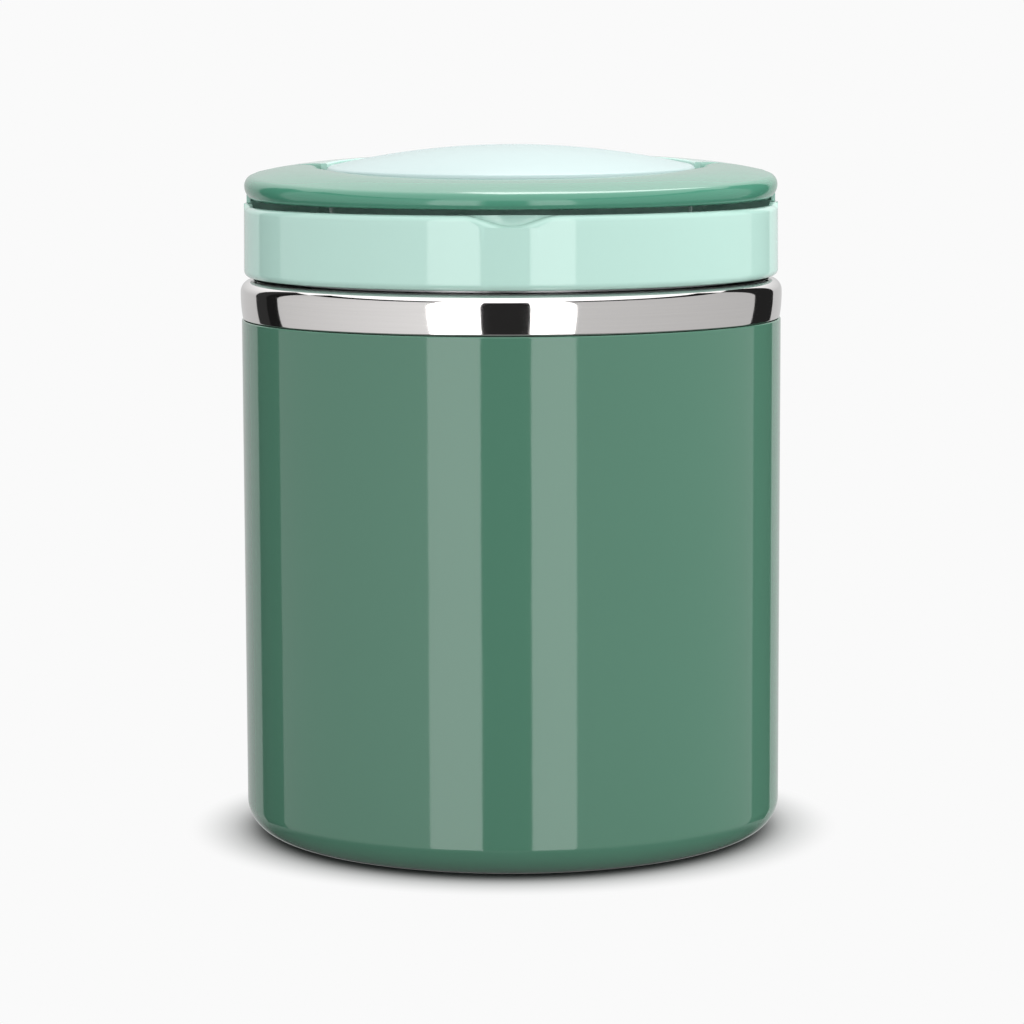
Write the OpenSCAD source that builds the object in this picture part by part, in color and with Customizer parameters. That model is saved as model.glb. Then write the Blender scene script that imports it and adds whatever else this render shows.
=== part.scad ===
// Insulated food jar: a vacuum flask in a gloss jacket, closed by a screw lid
// with a fold-down carry handle.  Millimetres, +Z up, origin at the centre of
// the resting face, finger notch and folded handle towards -Y.

/* [Jacket] */
// Outside diameter of the jacket
jacket_d = 110; // [106:0.5:116]
// Height of the jacket's top edge above the table
jacket_top = 105.3; // [90:0.1:120]
// Wall of the jacket
jacket_wall = 2; // [1.6:0.1:2.4]
// Thickness of the jacket's floor
floor_t = 2.2; // [2:0.1:2.8]
// Outside radius of the corner between wall and floor
base_corner_r = 6; // [4:0.5:7]

/* [Foot and base screw] */
// Middle radius of the foot ring
foot_r = 40; // [36:0.5:42]
// Width of the foot ring
foot_w = 6; // [4:0.5:8]
// Thickness of the foot ring
foot_t = 1.6; // [1.2:0.1:1.8]
// How far the foot ring stands out of the floor
foot_proud = 0.4; // [0.3:0.05:0.8]
// Radius of the base screw's shank
base_screw_r = 2; // [1.5:0.1:2.5]
// Radius of the base screw's head
base_head_r = 4.2; // [3.5:0.1:5]
// Height of the base screw's head
base_head_h = 1.4; // [1:0.1:1.8]
// Thickness of the washer under that head
washer_t = 0.5; // [0.4:0.1:0.8]
// Thickness of the plug that covers the screw
plug_t = 0.8; // [0.6:0.1:1.2]
// Plastic left between the washer and the flask's stud
clamp_t = 1.4; // [1:0.1:2]
// Height of the stud under the flask
stud_h = 2.4; // [2:0.1:4]
// Radius of the stud
stud_r = 6; // [5:0.5:8]

/* [Vacuum flask] */
// Air left between jacket and flask
flask_clear = 1; // [0.6:0.1:1.6]
// Sheet thickness of the steel walls
steel_t = 0.6; // [0.5:0.05:0.8]
// Vacuum between the two walls
vacuum_gap = 4; // [3:0.1:5]
// Vacuum between the two floors
vacuum_floor = 4.3; // [3.6:0.1:7]
// Radius of the corner inside the food vessel
vessel_corner_r = 8; // [5:0.5:12]
// Space between the two walls of the neck
neck_gap = 0.6; // [0.4:0.1:0.9]
// Height of the mouth above the collar
neck_h = 5.8; // [5.4:0.1:8]
// Height of the skirt on the flask's base
base_skirt_h = 6; // [4:0.5:9]
// Radius of the getter capsule
getter_r = 4; // [3:0.5:5]
// Height of the getter capsule
getter_h = 2.4; // [1.6:0.1:3]
// Radius of the disc that seals the evacuation hole
seal_r = 3.5; // [2.5:0.1:4.5]
// Width of the cushion ring under the flask
cushion_w = 12; // [8:0.5:14]
// Height of the centring ring around the flask
centring_h = 8; // [5:0.5:14]
// Height of the centring ring's lower edge
centring_z = 34; // [20:1:70]

/* [Collar] */
// Height of the polished collar
collar_h = 7.8; // [6.5:0.1:10]
// Shadow gap between jacket and collar
seam_gap = 0.3; // [0.2:0.05:0.5]
// How far the collar's belly stands out past the jacket
collar_belly = 0.17; // [0.05:0.01:0.3]
// Radius of the collar's barrel curve
collar_barrel_r = 29; // [24:1:40]
// Radius of the collar's upper shoulder
collar_shoulder_r = 2.4; // [1.5:0.1:2.8]
// Thickness of the collar's flange over the flask
collar_flange_t = 0.9; // [0.7:0.1:1.4]

/* [Screw thread] */
// Rise of the lid in one turn
thread_lead = 16; // [14:0.5:18]
// Number of thread starts
thread_starts = 4; // [3, 4]
// Radial height of a thread ridge
ridge_h = 0.9; // [0.75:0.05:1]
// Axial width of a ridge at its root
ridge_root_w = 1.5; // [1.2:0.1:1.7]
// Axial width of a ridge at its crest
ridge_crest_w = 0.8; // [0.6:0.1:1]
// Radial gap between a crest and the wall it faces
thread_clear = 0.3; // [0.25:0.05:0.4]
// Axial gap between the mated flanks
flank_clear = 0.12; // [0.08:0.01:0.2]

/* [Lid cap] */
// Gap between the collar and the lid's lower edge
lid_gap = 0.6; // [0.4:0.1:1]
// How far the lid's skirt stands back from the jacket
lid_inset = 0.66; // [0.5:0.02:1]
// Draft of the skirt from its foot to its top
lid_draft = 0.24; // [0.1:0.02:0.4]
// Wall of the lid cap
lid_wall = 1.7; // [1.4:0.1:2]
// Floor of the lid cap's trough
trough_t = 1.8; // [1.4:0.1:2.2]
// Depth of the trough below the front lip
trough_depth = 1.8; // [1.2:0.1:2.2]
// Floor under the handle's pockets
pocket_t = 1.6; // [1.2:0.1:2]
// Air around the handle's round ends
pocket_clear = 0.5; // [0.4:0.05:0.8]
// Width of the finger notch
notch_w = 16; // [12:0.5:22]
// Depth of the finger notch
notch_depth = 2; // [1:0.1:2.6]
// Radius of the sweep from the front lip up to the pivot ears
ear_sweep_r = 20; // [16:1:28]

/* [Handle] */
// Width of the handle's band
handle_w = 16.1; // [14:0.1:17]
// How far the handle stands back from the lid's foot
handle_inset = 0.14; // [0.1:0.02:0.5]
// Depth of the handle below its pivot
handle_below = 3; // [2.6:0.1:3.3]
// Height of the handle's inner edge above its pivot
handle_above = 4; // [3.4:0.1:4.4]
// Fall of the handle's top from its inner to its outer edge
handle_fall = 2.05; // [1.2:0.05:2.6]
// Radius of the crown on the handle's top
handle_crown_r = 70; // [50:5:120]
// Easing of the handle's outer top edge
handle_top_r = 2.2; // [1.5:0.1:2.6]
// Easing of the handle's lower edges
handle_under_r = 2.6; // [1.5:0.1:2.6]
// Forward lean of the handle and the rear deck, in degrees
lean = 1.86; // [0:0.1:2.2]
// Radius of the pivot pins
pin_r = 1.4; // [1.2:0.05:1.6]
// Length of a pin inside the handle
pin_in_handle = 9.8; // [6:0.2:11]
// Running clearance of the pins
pin_clear = 0.05; // [0.02:0.01:0.1]
// Wall of the pivot bushes
bush_wall = 0.75; // [0.6:0.05:0.9]
// Length of the pivot bushes
bush_len = 5.4; // [4:0.2:6]
// Radius of a pin's head
pin_head_r = 2.6; // [2.2:0.1:2.9]
// Thickness of a pin's head
pin_head_t = 1.5; // [1:0.1:2]

/* [Dome cover] */
// Gap between dome and handle
dome_gap = 0.6; // [0.5:0.05:0.9]
// Height of the dome's edge above its seat
dome_edge_h = 2.5; // [2:0.1:4]
// Rise of the dome's middle above its edge
dome_crown_h = 3.4; // [1:0.1:8]
// Easing of the dome's rim
dome_rim_r = 1.5; // [1:0.1:1.8]
// Height of the dome's seat above the pivots
dome_seat = 2.2; // [2.1:0.1:2.6]
// Wall of the dome
dome_wall = 1.8; // [1.4:0.1:2]

/* [Liner, foam and gasket] */
// Thickness of the liner's plate
liner_t = 1.5; // [1.2:0.1:2]
// Wall of the liner's threaded skirt
liner_skirt_t = 2.4; // [1.8:0.1:2.6]
// Depth of the plug below the mouth's rim
plug_depth = 7.4; // [5:0.2:12]
// Wall of the plug
plug_wall = 1.6; // [1.2:0.1:2]
// Radial gap between the plug and the mouth
plug_clear = 1.8; // [1.4:0.1:2.6]
// Thickness of the gasket on the rim
gasket_t = 1.2; // [0.9:0.1:1.8]
// Air between the foam and what surrounds it
foam_clear = 0.3; // [0.2:0.05:0.6]
// Distance of the lid screws from the axis
lid_screw_pcd_r = 24; // [18:0.5:26]
// Number of lid screws
lid_screw_n = 4; // [3:1:6]
// Radius of the lid screws' shanks
lid_screw_r = 1.45; // [1.2:0.05:1.6]
// Length of the lid screws' shanks
lid_screw_len = 9.5; // [7:0.5:12]

/* [Hidden] */
$fn = 96;

// Small gaps and overlaps
eps = 0.01;            // lets a cutter reach past the face that it cuts
fit = 0.1;             // loose gap between two pieces of one assembly
loose = 0.3;           // wider gap, where a piece has to drop in freely
press = 0.02;          // gap of a pressed or threaded fit, drawn as a hair of air
soften = 0.3;          // small rounding that takes the sharpness off a moulded edge
far = 200;             // larger than the whole jar

// Jacket and foot
jacket_r = jacket_d / 2;
jacket_bottom = foot_proud;
jacket_in_r = jacket_r - jacket_wall;
floor_top = jacket_bottom + floor_t;
recess_top = jacket_bottom + plug_t + fit + base_head_h + washer_t;
boss_top = recess_top + clamp_t;
cover_r = base_head_r + 2.2;
boss_r = cover_r + 2.6;
washer_r = base_head_r + 1;
seam_seat_h = 1.2;

// Flask
flask_bottom = boss_top + stud_h;
flask_r = jacket_in_r - flask_clear;
flask_in_r = flask_r - steel_t;
vessel_out_r = flask_in_r - vacuum_gap;
mouth_r = vessel_out_r - steel_t;
neck_in_r = vessel_out_r + neck_gap;
neck_r = neck_in_r + steel_t;
collar_bottom = jacket_top + seam_gap;
collar_top = collar_bottom + collar_h;
shoulder_z = collar_top - collar_flange_t - fit;
rim_z = collar_top + neck_h;
flask_floor_top = flask_bottom + steel_t;
vessel_bottom = flask_floor_top + vacuum_floor;
vessel_floor = vessel_bottom + steel_t;
foil_t = 0.2;
foil_end_gap = 1.5;
foil_r = vessel_out_r + loose;
seal_t = 1;
evac_hole_r = 1.2;
seal_y = 24;
getter_y = -20;
cushion_out_r = jacket_in_r - base_corner_r + 1.4;

// Lid heights, counted up from the mouth's rim
lid_edge = collar_top + lid_gap;
liner_under = rim_z + gasket_t + fit;
liner_top = liner_under + liner_t;
pocket_under = liner_top + 4 * fit;
pocket_floor = pocket_under + pocket_t;
end_r = handle_w / 2;
sweep_clear = 0.35;
pivot_z = pocket_floor + sweep_clear + end_r;
lip_below_pivot = 4.1;
lip_z = pivot_z - lip_below_pivot;
trough_z = lip_z - trough_depth;
trough_under = trough_z - trough_t;
seat_z = pivot_z + dome_seat;

// Lid radii
lid_r = jacket_r - lid_inset;
lid_top_r = lid_r - lid_draft;
lid_in_r = lid_r - lid_wall;
wall_in_r = lid_top_r - lid_wall;
handle_r = lid_r - handle_inset;
handle_in_r = handle_r - handle_w;
end_x = handle_r - end_r;
dome_r = handle_in_r - dome_gap;
island_r = dome_r - 0.5;
island_in_r = island_r - lid_wall - 0.1;
island_floor_top = pivot_z - pin_head_r - 0.8;
island_floor_t = 1.8;
dome_crown_r = (dome_r * dome_r + dome_crown_h * dome_crown_h) / 2 / dome_crown_h;
deck_in_r = dome_r + 0.4;
deck_above = handle_above + 0.2;
deck_fall = handle_fall - 0.35;
deck_t = 1.8;
deck_top_r = 2.8;
edge_ease = 0.8;
slot_front = handle_below + 0.6;
slot_back = handle_above + 0.6;
swing_clear = 0.25;
swing_r = norm([end_r, handle_above]) + swing_clear;
horn_y = end_r * 0.82;
horn_drop = 3.6;
rear_cavity_y = swing_r + lid_wall;
rear_cavity_in_r = deck_in_r + 0.7;

// Pivots
bush_in_r = pin_r + pin_clear;
bush_r = bush_in_r + bush_wall;
bush_x1 = island_in_r - fit;
bush_x0 = bush_x1 - bush_len;
pivot_boss_w = bush_r + 1.4;
pivot_boss_top = pivot_z + bush_r + 0.8;
pin_x1 = handle_in_r + pin_in_handle;
pin_head_x = bush_x0 - fit;

// Liner, thread and gasket
neck_thread_r = neck_r + ridge_h;
liner_in_r = neck_thread_r + thread_clear;
liner_thread_r = neck_r + thread_clear;
liner_r = liner_in_r + liner_skirt_t;
liner_bottom = lid_edge + loose;
ridge_margin = 0.45;
neck_ridge_z0 = collar_top + ridge_margin + ridge_root_w / 2;
neck_ridge_z1 = rim_z - steel_t - fit - ridge_root_w / 2;
neck_ridge_arc = (neck_ridge_z1 - neck_ridge_z0) / thread_lead * 360;
mate_drop = ridge_root_w - (ridge_root_w - ridge_crest_w) / 2 + flank_clear;
liner_ridge_z0 = liner_bottom + fit + ridge_root_w / 2;
liner_ridge_z1 = neck_ridge_z1 - mate_drop - 0.2;
liner_ridge_arc = (liner_ridge_z1 - liner_ridge_z0) / thread_lead * 360;
liner_ridge_turn = (liner_ridge_z0 + mate_drop - neck_ridge_z0) / thread_lead * 360;
ridge_steps = 16;
plug_r = mouth_r - plug_clear;
plug_in_r = plug_r - plug_wall;
plug_bottom = rim_z - plug_depth;
plug_floor = plug_bottom + plug_wall;
plug_corner = 2;
gasket_r = neck_r + loose;
gasket_in_r = plug_r + fit;
gasket_lip_w = 1.3;
gasket_lip_h = 1.6;
screw_boss_r = lid_screw_r + 2.1;
lid_screw_head_r = lid_screw_r + 1.35;
lid_screw_head_h = 1.6;
foam_top = trough_under - fit;
island_floor = island_floor_top - island_floor_t;
island_foam_top = island_floor - fit;

// ---- plane shapes, drawn in the plane of radius (x) and height (y) ----

// Rectangle from lo to hi with its corners eased: lower left, lower right, upper right, upper left
module eased_rect(lo, hi, ease = [0, 0, 0, 0]) {
    a = ease[0];
    b = ease[1];
    c = ease[2];
    d = ease[3];
    polygon([[lo.x + a, lo.y], [hi.x - b, lo.y], [hi.x, lo.y + b], [hi.x, hi.y - c],
        [hi.x - c, hi.y], [lo.x + d, hi.y], [lo.x, hi.y - d], [lo.x, lo.y + a]]);
    if (a > 0) translate([lo.x + a, lo.y + a]) circle(a);
    if (b > 0) translate([hi.x - b, lo.y + b]) circle(b);
    if (c > 0) translate([hi.x - c, hi.y - c]) circle(c);
    if (d > 0) translate([lo.x + d, hi.y - d]) circle(d);
}

// Height of a circle of radius r about the centre c, above the place x
function arc_y(c, r, x) = c.y + sqrt(r * r - (x - c.x) * (x - c.x));

// Centre of a circle of radius r that passes over p and then, further out, q
function arc_centre(p, q, r) =
    let (half = norm(q - p) / 2, along = (q - p) / norm(q - p), down = [along.y, -along.x])
    (p + q) / 2 + down * sqrt(r * r - half * half);

// Everything below a crowned top that runs from the axis out to x_out, its outer corner eased
module crowned_block(c, r, x_out, y_low, ease) {
    centre = [x_out - ease, arc_y(c, r - ease, x_out - ease)];
    touch = c + (centre - c) * r / (r - ease);
    intersection() {
        polygon([[0, y_low], [x_out, y_low], [x_out, centre.y], touch, [touch.x, far], [0, far]]);
        translate(c) circle(r, $fn = 720);
    }
    intersection() {
        translate(centre) circle(ease);
        translate(centre) square(ease);
    }
}

// Tube between two radii and two heights
module tube(r_in, r_out, z0, z1) {
    rotate_extrude() translate([r_in, z0]) square([r_out - r_in, z1 - z0]);
}

// Cylinder along X from x0 to x1, at the height of the pivots
module pivot_rod(x0, x1, r) {
    translate([x0, 0, pivot_z]) rotate([0, 90, 0]) cylinder(h = x1 - x0, r = r);
}

// Both sides of something that is drawn on the +X side
module both_sides() {
    children();
    mirror([1, 0, 0]) children();
}

// Whatever belongs at each lid screw, drawn from the height z
module at_lid_screws(z) {
    for (i = [0:lid_screw_n - 1]) {
        rotate([0, 0, 45 + i * 360 / lid_screw_n]) translate([lid_screw_pcd_r, 0, z]) children();
    }
}

// Cross-shaped socket of a screw: its length over all, its width, and where it starts
module cross_recess(length, width, z, depth) {
    for (turn = [0, 90]) {
        rotate([0, 0, turn]) translate([-length / 2, -width / 2, z]) cube([length, width, depth]);
    }
}

// Leans its children about the pivots' axis, the front edge down
module leaning() {
    translate([0, 0, pivot_z]) rotate([lean, 0, 0]) children();
}

// One helical ridge: it starts at the angle a0 and the height z0 and climbs through arc degrees
module ridge(root_r, crest_r, z0, a0, arc) {
    out = crest_r > root_r;
    pts = [for (i = [0:ridge_steps])
        let (a = a0 + arc * i / ridge_steps)
        let (z = z0 + thread_lead * arc * i / ridge_steps / 360)
        let (grow = min(1, 0.25 + 0.375 * min(i, ridge_steps - i)))
        let (crest = root_r + (crest_r - root_r) * grow)
        for (p = [[root_r, -ridge_root_w / 2], [crest, -ridge_crest_w / 2],
                  [crest, ridge_crest_w / 2], [root_r, ridge_root_w / 2]])
        [p.x * cos(a), p.x * sin(a), z + p.y]];
    last = 4 * ridge_steps;
    sides = [for (i = [0:ridge_steps - 1], k = [0:3])
        let (a = 4 * i + k, b = 4 * i + (k + 1) % 4)
        for (t = [[a, a + 4, b + 4], [a, b + 4, b]]) t];
    ends = [[0, 1, 2], [0, 2, 3], [last + 2, last + 1, last], [last + 3, last + 2, last]];
    faces = [for (t = concat(sides, ends)) out ? [t[2], t[1], t[0]] : t];
    polyhedron(pts, faces);
}

// ---- jar body ----

module outer_jacket() {
    color([0.28, 0.51, 0.41])
    difference() {
        union() {
            rotate_extrude() difference() {
                eased_rect([0, jacket_bottom], [jacket_r, jacket_top], [0, base_corner_r, soften, 0]);
                eased_rect([-eps, floor_top], [jacket_in_r, far], [0, base_corner_r - jacket_wall, 0, 0]);
            }
            translate([0, 0, jacket_bottom]) cylinder(h = boss_top - jacket_bottom, r = boss_r);
        }
        // seat of the seam gasket
        tube(jacket_in_r - eps, jacket_in_r + jacket_wall / 2, jacket_top - seam_seat_h, far);
        // groove of the foot ring
        tube(foot_r - foot_w / 2, foot_r + foot_w / 2, -eps, foot_t);
        // recess for the washer, the screw's head and its cover
        translate([0, 0, -eps]) cylinder(h = recess_top + eps, r = washer_r + loose);
        translate([0, 0, -eps]) cylinder(h = jacket_bottom + plug_t + eps, r = cover_r);
        cylinder(h = far, r = base_screw_r + loose);
    }
}

module foot_ring() {
    color([0.42, 0.46, 0.44])
    rotate_extrude()
        eased_rect([foot_r - foot_w / 2, 0], [foot_r + foot_w / 2, foot_t], [soften, soften, 0, 0]);
}

module screw_cover() {
    color([0.42, 0.46, 0.44])
    rotate_extrude()
        eased_rect([0, jacket_bottom], [cover_r - press, jacket_bottom + plug_t], [0, soften, 0, 0]);
}

module base_washer() {
    color([0.75, 0.75, 0.76])
    tube(base_screw_r + fit, washer_r, recess_top - washer_t, recess_top);
}

module base_screw() {
    head_z = recess_top - washer_t - base_head_h;
    shank_h = flask_bottom - fit - head_z;
    slot_w = 0.9;
    color([0.72, 0.72, 0.74])
    difference() {
        union() {
            rotate_extrude()
                eased_rect([0, head_z], [base_head_r, head_z + base_head_h], [0, 2 * soften, 0, 0]);
            translate([0, 0, head_z]) cylinder(h = shank_h, r = base_screw_r);
        }
        cross_recess(1.1 * base_head_r, slot_w, head_z - eps, slot_w);
    }
}

module bottom_cushion() {
    color([0.2, 0.2, 0.2])
    tube(cushion_out_r - cushion_w, cushion_out_r, floor_top, flask_bottom);
}

module centring_ring() {
    color([0.25, 0.25, 0.25])
    tube(flask_r + fit / 2, jacket_in_r - fit / 2, centring_z, centring_z + centring_h);
}

module seam_gasket() {
    color([0.12, 0.13, 0.13])
    tube(flask_r + flask_clear / 2, jacket_in_r + jacket_wall / 2 - press,
        jacket_top - seam_seat_h, collar_bottom);
}

module collar_band() {
    collar_in_r = flask_r + loose;
    flange_in_r = neck_r + loose;
    flange_under = collar_top - collar_flange_t;
    belly_z = collar_top - collar_shoulder_r - 0.6;
    barrel = [jacket_r + collar_belly - collar_barrel_r, belly_z];
    inner = collar_barrel_r - collar_shoulder_r;
    shoulder_y = collar_top - collar_shoulder_r;
    shoulder = [barrel.x + sqrt(inner * inner - pow(shoulder_y - barrel.y, 2)), shoulder_y];
    touch = barrel + (shoulder - barrel) * collar_barrel_r / inner;
    color([0.8, 0.8, 0.8])
    rotate_extrude() {
        intersection() {
            polygon([[collar_in_r, collar_bottom], [far, collar_bottom], [far, touch.y], touch,
                [shoulder.x, collar_top], [flange_in_r, collar_top],
                [flange_in_r, flange_under], [collar_in_r, flange_under]]);
            translate(barrel) circle(collar_barrel_r, $fn = 360);
        }
        intersection() {
            translate(shoulder) circle(collar_shoulder_r);
            translate([shoulder.x, touch.y]) square(collar_shoulder_r);
        }
    }
}

module flask_shell() {
    color([0.75, 0.75, 0.76]) {
        rotate_extrude() {
            translate([flask_in_r, flask_bottom]) square([steel_t, shoulder_z - flask_bottom]);
            translate([neck_in_r, shoulder_z - steel_t]) square([flask_r - neck_in_r, steel_t]);
            translate([neck_in_r, shoulder_z - steel_t]) square([steel_t, rim_z - shoulder_z]);
        }
        for (i = [0:thread_starts - 1]) {
            ridge(neck_r - steel_t / 3, neck_thread_r, neck_ridge_z0,
                i * 360 / thread_starts, neck_ridge_arc);
        }
    }
}

module food_vessel() {
    color([0.82, 0.82, 0.83])
    rotate_extrude() {
        difference() {
            eased_rect([0, vessel_bottom], [vessel_out_r, rim_z], [0, vessel_corner_r + steel_t, 0, 0]);
            eased_rect([-eps, vessel_floor], [mouth_r, far], [0, vessel_corner_r, 0, 0]);
        }
        eased_rect([mouth_r, rim_z - steel_t], [neck_r, rim_z], [0, 0, 0.25, 0.25]);
    }
}

module flask_base() {
    color([0.7, 0.7, 0.71])
    difference() {
        tube(0, flask_in_r - press, flask_bottom, flask_bottom + base_skirt_h);
        translate([0, 0, flask_floor_top]) cylinder(h = far, r = flask_in_r - press - steel_t);
        translate([0, seal_y, 0]) cylinder(h = far, r = evac_hole_r);
    }
}

module flask_stud() {
    color([0.62, 0.62, 0.64])
    tube(base_screw_r + press, stud_r, boss_top, flask_bottom);
}

module evac_seal() {
    color([0.66, 0.62, 0.55])
    translate([0, seal_y, 0]) {
        rotate_extrude()
            eased_rect([0, flask_bottom - seal_t], [seal_r, flask_bottom], [0, seal_t * 0.4, 0, 0]);
        translate([0, 0, flask_bottom - eps])
            cylinder(h = steel_t + eps, r = evac_hole_r - press);
    }
}

module getter_capsule() {
    color([0.5, 0.5, 0.53])
    translate([0, getter_y, 0])
        rotate_extrude()
            eased_rect([0, flask_floor_top], [getter_r, flask_floor_top + getter_h],
                [0, 0, 2 * soften, 0]);
}

module radiation_foil() {
    color([0.8, 0.5, 0.35])
    tube(foil_r, foil_r + foil_t, vessel_floor + vessel_corner_r, shoulder_z - steel_t - foil_end_gap);
}

// ---- lid ----

module lid_gasket() {
    color([0.93, 0.95, 0.95])
    translate([0, 0, rim_z + fit / 2]) rotate_extrude() {
        eased_rect([gasket_in_r, 0], [gasket_r, gasket_t], [0, soften, soften, 0]);
        eased_rect([gasket_in_r, -gasket_lip_h], [gasket_in_r + gasket_lip_w, gasket_t / 2],
            [0, 0.5, 0, 0]);
    }
}

// Everything below the leaning top of the rear deck, drop lower
module deck_limit(drop) {
    p = [deck_in_r, deck_above - drop];
    q = [handle_r - handle_top_r, deck_above - deck_fall - drop];
    crown = arc_centre(p, q, handle_crown_r);
    leaning() rotate_extrude()
        crowned_block(crown, handle_crown_r, lid_r + 0.25, -40, deck_top_r);
}

// Space that the handle's band fills when it lies folded, with clear all round
module folded_handle_space(clear) {
    rotate_extrude()
        eased_rect([handle_in_r - clear, pivot_z - handle_below - clear], [handle_r + clear, far],
            [0, handle_under_r + clear, 0, 0]);
}

// Space that a round end of the handle needs as it swings down
module end_pocket() {
    slot_w = handle_w + 3;
    intersection() {
        translate([end_x, 0, pivot_z]) sphere(swing_r);
        translate([0, -slot_front, 0]) cube(far);
    }
    translate([end_x, 0, pivot_z]) cylinder(h = far, r = end_r + pocket_clear);
    translate([island_r, -slot_front, pivot_z - handle_below - loose]) cube([slot_w, slot_front, far]);
    translate([island_r, 0, pivot_z]) cube([slot_w, slot_back, far]);
    translate([end_x + end_r / 2, -slot_front, pivot_z - horn_drop])
        cube([end_r, slot_front + horn_y, far]);
}

// What is cut off the outer wall in front of the pivots, seen from the side
module front_opening() {
    rotate([90, 0, 90]) translate([0, 0, -far / 2]) linear_extrude(far) {
        start = -ear_sweep_r * 0.9;
        translate([-far, lip_z]) square([far + start, far]);
        translate([start, lip_z + ear_sweep_r]) circle(ear_sweep_r);
    }
}

module lid_cap() {
    notch_r = (notch_w * notch_w / 4 + notch_depth * notch_depth) / 2 / notch_depth;
    color([0.71, 0.87, 0.82])
    difference() {
        intersection() {
            rotate_extrude() {
                polygon([[0, trough_under], [0, seat_z], [deck_in_r, seat_z], [deck_in_r, seat_z + 9],
                    [lid_top_r, seat_z + 9], [lid_top_r, pivot_z], [lid_r, lid_edge + edge_ease],
                    [lid_r - edge_ease, lid_edge], [lid_in_r, lid_edge], [lid_in_r, trough_under]]);
                translate([lid_r - edge_ease, lid_edge + edge_ease]) circle(edge_ease);
                translate([island_r - lid_wall, pocket_under])
                    square([lid_in_r + eps - island_r + lid_wall, trough_under + eps - pocket_under]);
            }
            deck_limit(0);
        }
        // underside: only the pocket floors reach down to pocket_under
        difference() {
            tube(0, lid_in_r, pocket_under - eps, trough_under);
            both_sides() translate([island_r - lid_wall, -slot_front - pocket_t, 0])
                cube([lid_wall + handle_w + 2, slot_front + swing_r + 2 * pocket_t, far]);
        }
        // hollow under the rear deck
        intersection() {
            tube(rear_cavity_in_r, wall_in_r, pocket_under - 1, far);
            deck_limit(deck_t);
            translate([-far / 2, rear_cavity_y, 0]) cube([far, far, far]);
        }
        // inside of the island, above and below its floor
        translate([0, 0, island_floor_top]) cylinder(h = far, r = island_in_r);
        translate([0, 0, pocket_under - 1])
            cylinder(h = island_floor - pocket_under + 1, r = island_in_r);
        // trough in front of the pivots
        intersection() {
            tube(island_r, wall_in_r, trough_z, far);
            translate([-far / 2, -far - slot_front, 0]) cube([far, far, far]);
        }
        // outer wall: low at the front, sweeping up to the ears
        intersection() {
            tube(wall_in_r - eps, far, lip_z, far);
            front_opening();
        }
        intersection() {
            folded_handle_space(swing_clear);
            translate([-far / 2, -far, 0]) cube([far, far, far]);
        }
        both_sides() end_pocket();
        // finger notch
        translate([0, 4 - wall_in_r, lip_z - notch_depth + notch_r]) rotate([90, 0, 0])
            cylinder(h = 20, r = notch_r);
        // screw holes in the island's floor
        at_lid_screws(island_floor - 1) cylinder(h = island_floor_t + 2, r = lid_screw_r + loose);
        // way through the island's wall for the pins
        both_sides() pivot_rod(island_in_r - 1, island_r + 1, pin_r + 0.2);
    }
    color([0.71, 0.87, 0.82])
    both_sides() difference() {
        intersection() {
            translate([bush_x0, -pivot_boss_w, island_floor_top - eps])
                cube([island_r - bush_x0, 2 * pivot_boss_w, pivot_boss_top - island_floor_top + eps]);
            cylinder(h = far, r = island_in_r + 0.05);
        }
        pivot_rod(bush_x0 - 1, far, bush_r + press);
    }
}

module dome_cover() {
    top = [0, seat_z + dome_edge_h + dome_crown_h - dome_crown_r];
    snap_t = 1;
    snap_h = 3;
    snap_in_r = island_in_r - fit - snap_t;
    gap_w = 2 * pivot_boss_w + 4 * loose;
    color([0.89, 0.96, 0.96])
    difference() {
        union() {
            rotate_extrude() difference() {
                crowned_block(top, dome_crown_r, dome_r, seat_z, dome_rim_r);
                crowned_block(top - [0, dome_wall], dome_crown_r, dome_r - dome_wall, seat_z - eps, 0.5);
            }
            tube(snap_in_r, island_in_r - fit, seat_z - snap_h, seat_z + snap_t);
            tube(snap_in_r, dome_r - dome_wall + eps, seat_z, seat_z + snap_t);
        }
        // gaps in the snap skirt for the pivot bosses
        translate([-far / 2, -gap_w / 2, seat_z - far]) cube([far, gap_w, far]);
        translate([-island_in_r - fit, -gap_w / 2, seat_z - eps])
            cube([2 * (island_in_r + fit), gap_w, snap_t + 2 * eps]);
    }
}

module lid_liner() {
    color([0.93, 0.95, 0.95]) {
        rotate_extrude() {
            difference() {
                eased_rect([0, plug_bottom], [plug_r, liner_top], [0, plug_corner, 0, 0]);
                translate([-eps, plug_floor]) square([plug_in_r + eps, far]);
            }
            translate([plug_in_r, liner_under]) square([liner_r - plug_in_r, liner_t]);
            translate([liner_in_r, liner_bottom]) square([liner_skirt_t, liner_top - liner_bottom]);
        }
        for (i = [0:thread_starts - 1]) {
            ridge(liner_in_r + 0.3, liner_thread_r, liner_ridge_z0,
                liner_ridge_turn + i * 360 / thread_starts, liner_ridge_arc);
        }
        difference() {
            at_lid_screws(plug_floor - eps)
                cylinder(h = island_floor - plug_floor + eps, r = screw_boss_r);
            at_lid_screws(island_floor - lid_screw_len)
                cylinder(h = far, r = lid_screw_r + press);
        }
    }
}

module lid_foam() {
    color([0.96, 0.95, 0.9])
    difference() {
        union() {
            tube(0, plug_in_r - foam_clear, plug_floor, foam_top);
            tube(0, island_in_r - foam_clear, foam_top - eps, island_foam_top);
        }
        both_sides() translate([island_r - lid_wall - foam_clear, -slot_front - pocket_t - foam_clear,
                pocket_under - foam_clear])
            cube([far, slot_front + swing_r + 2 * pocket_t + 2 * foam_clear, far]);
        at_lid_screws(0) cylinder(h = far, r = screw_boss_r + foam_clear);
    }
}

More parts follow.
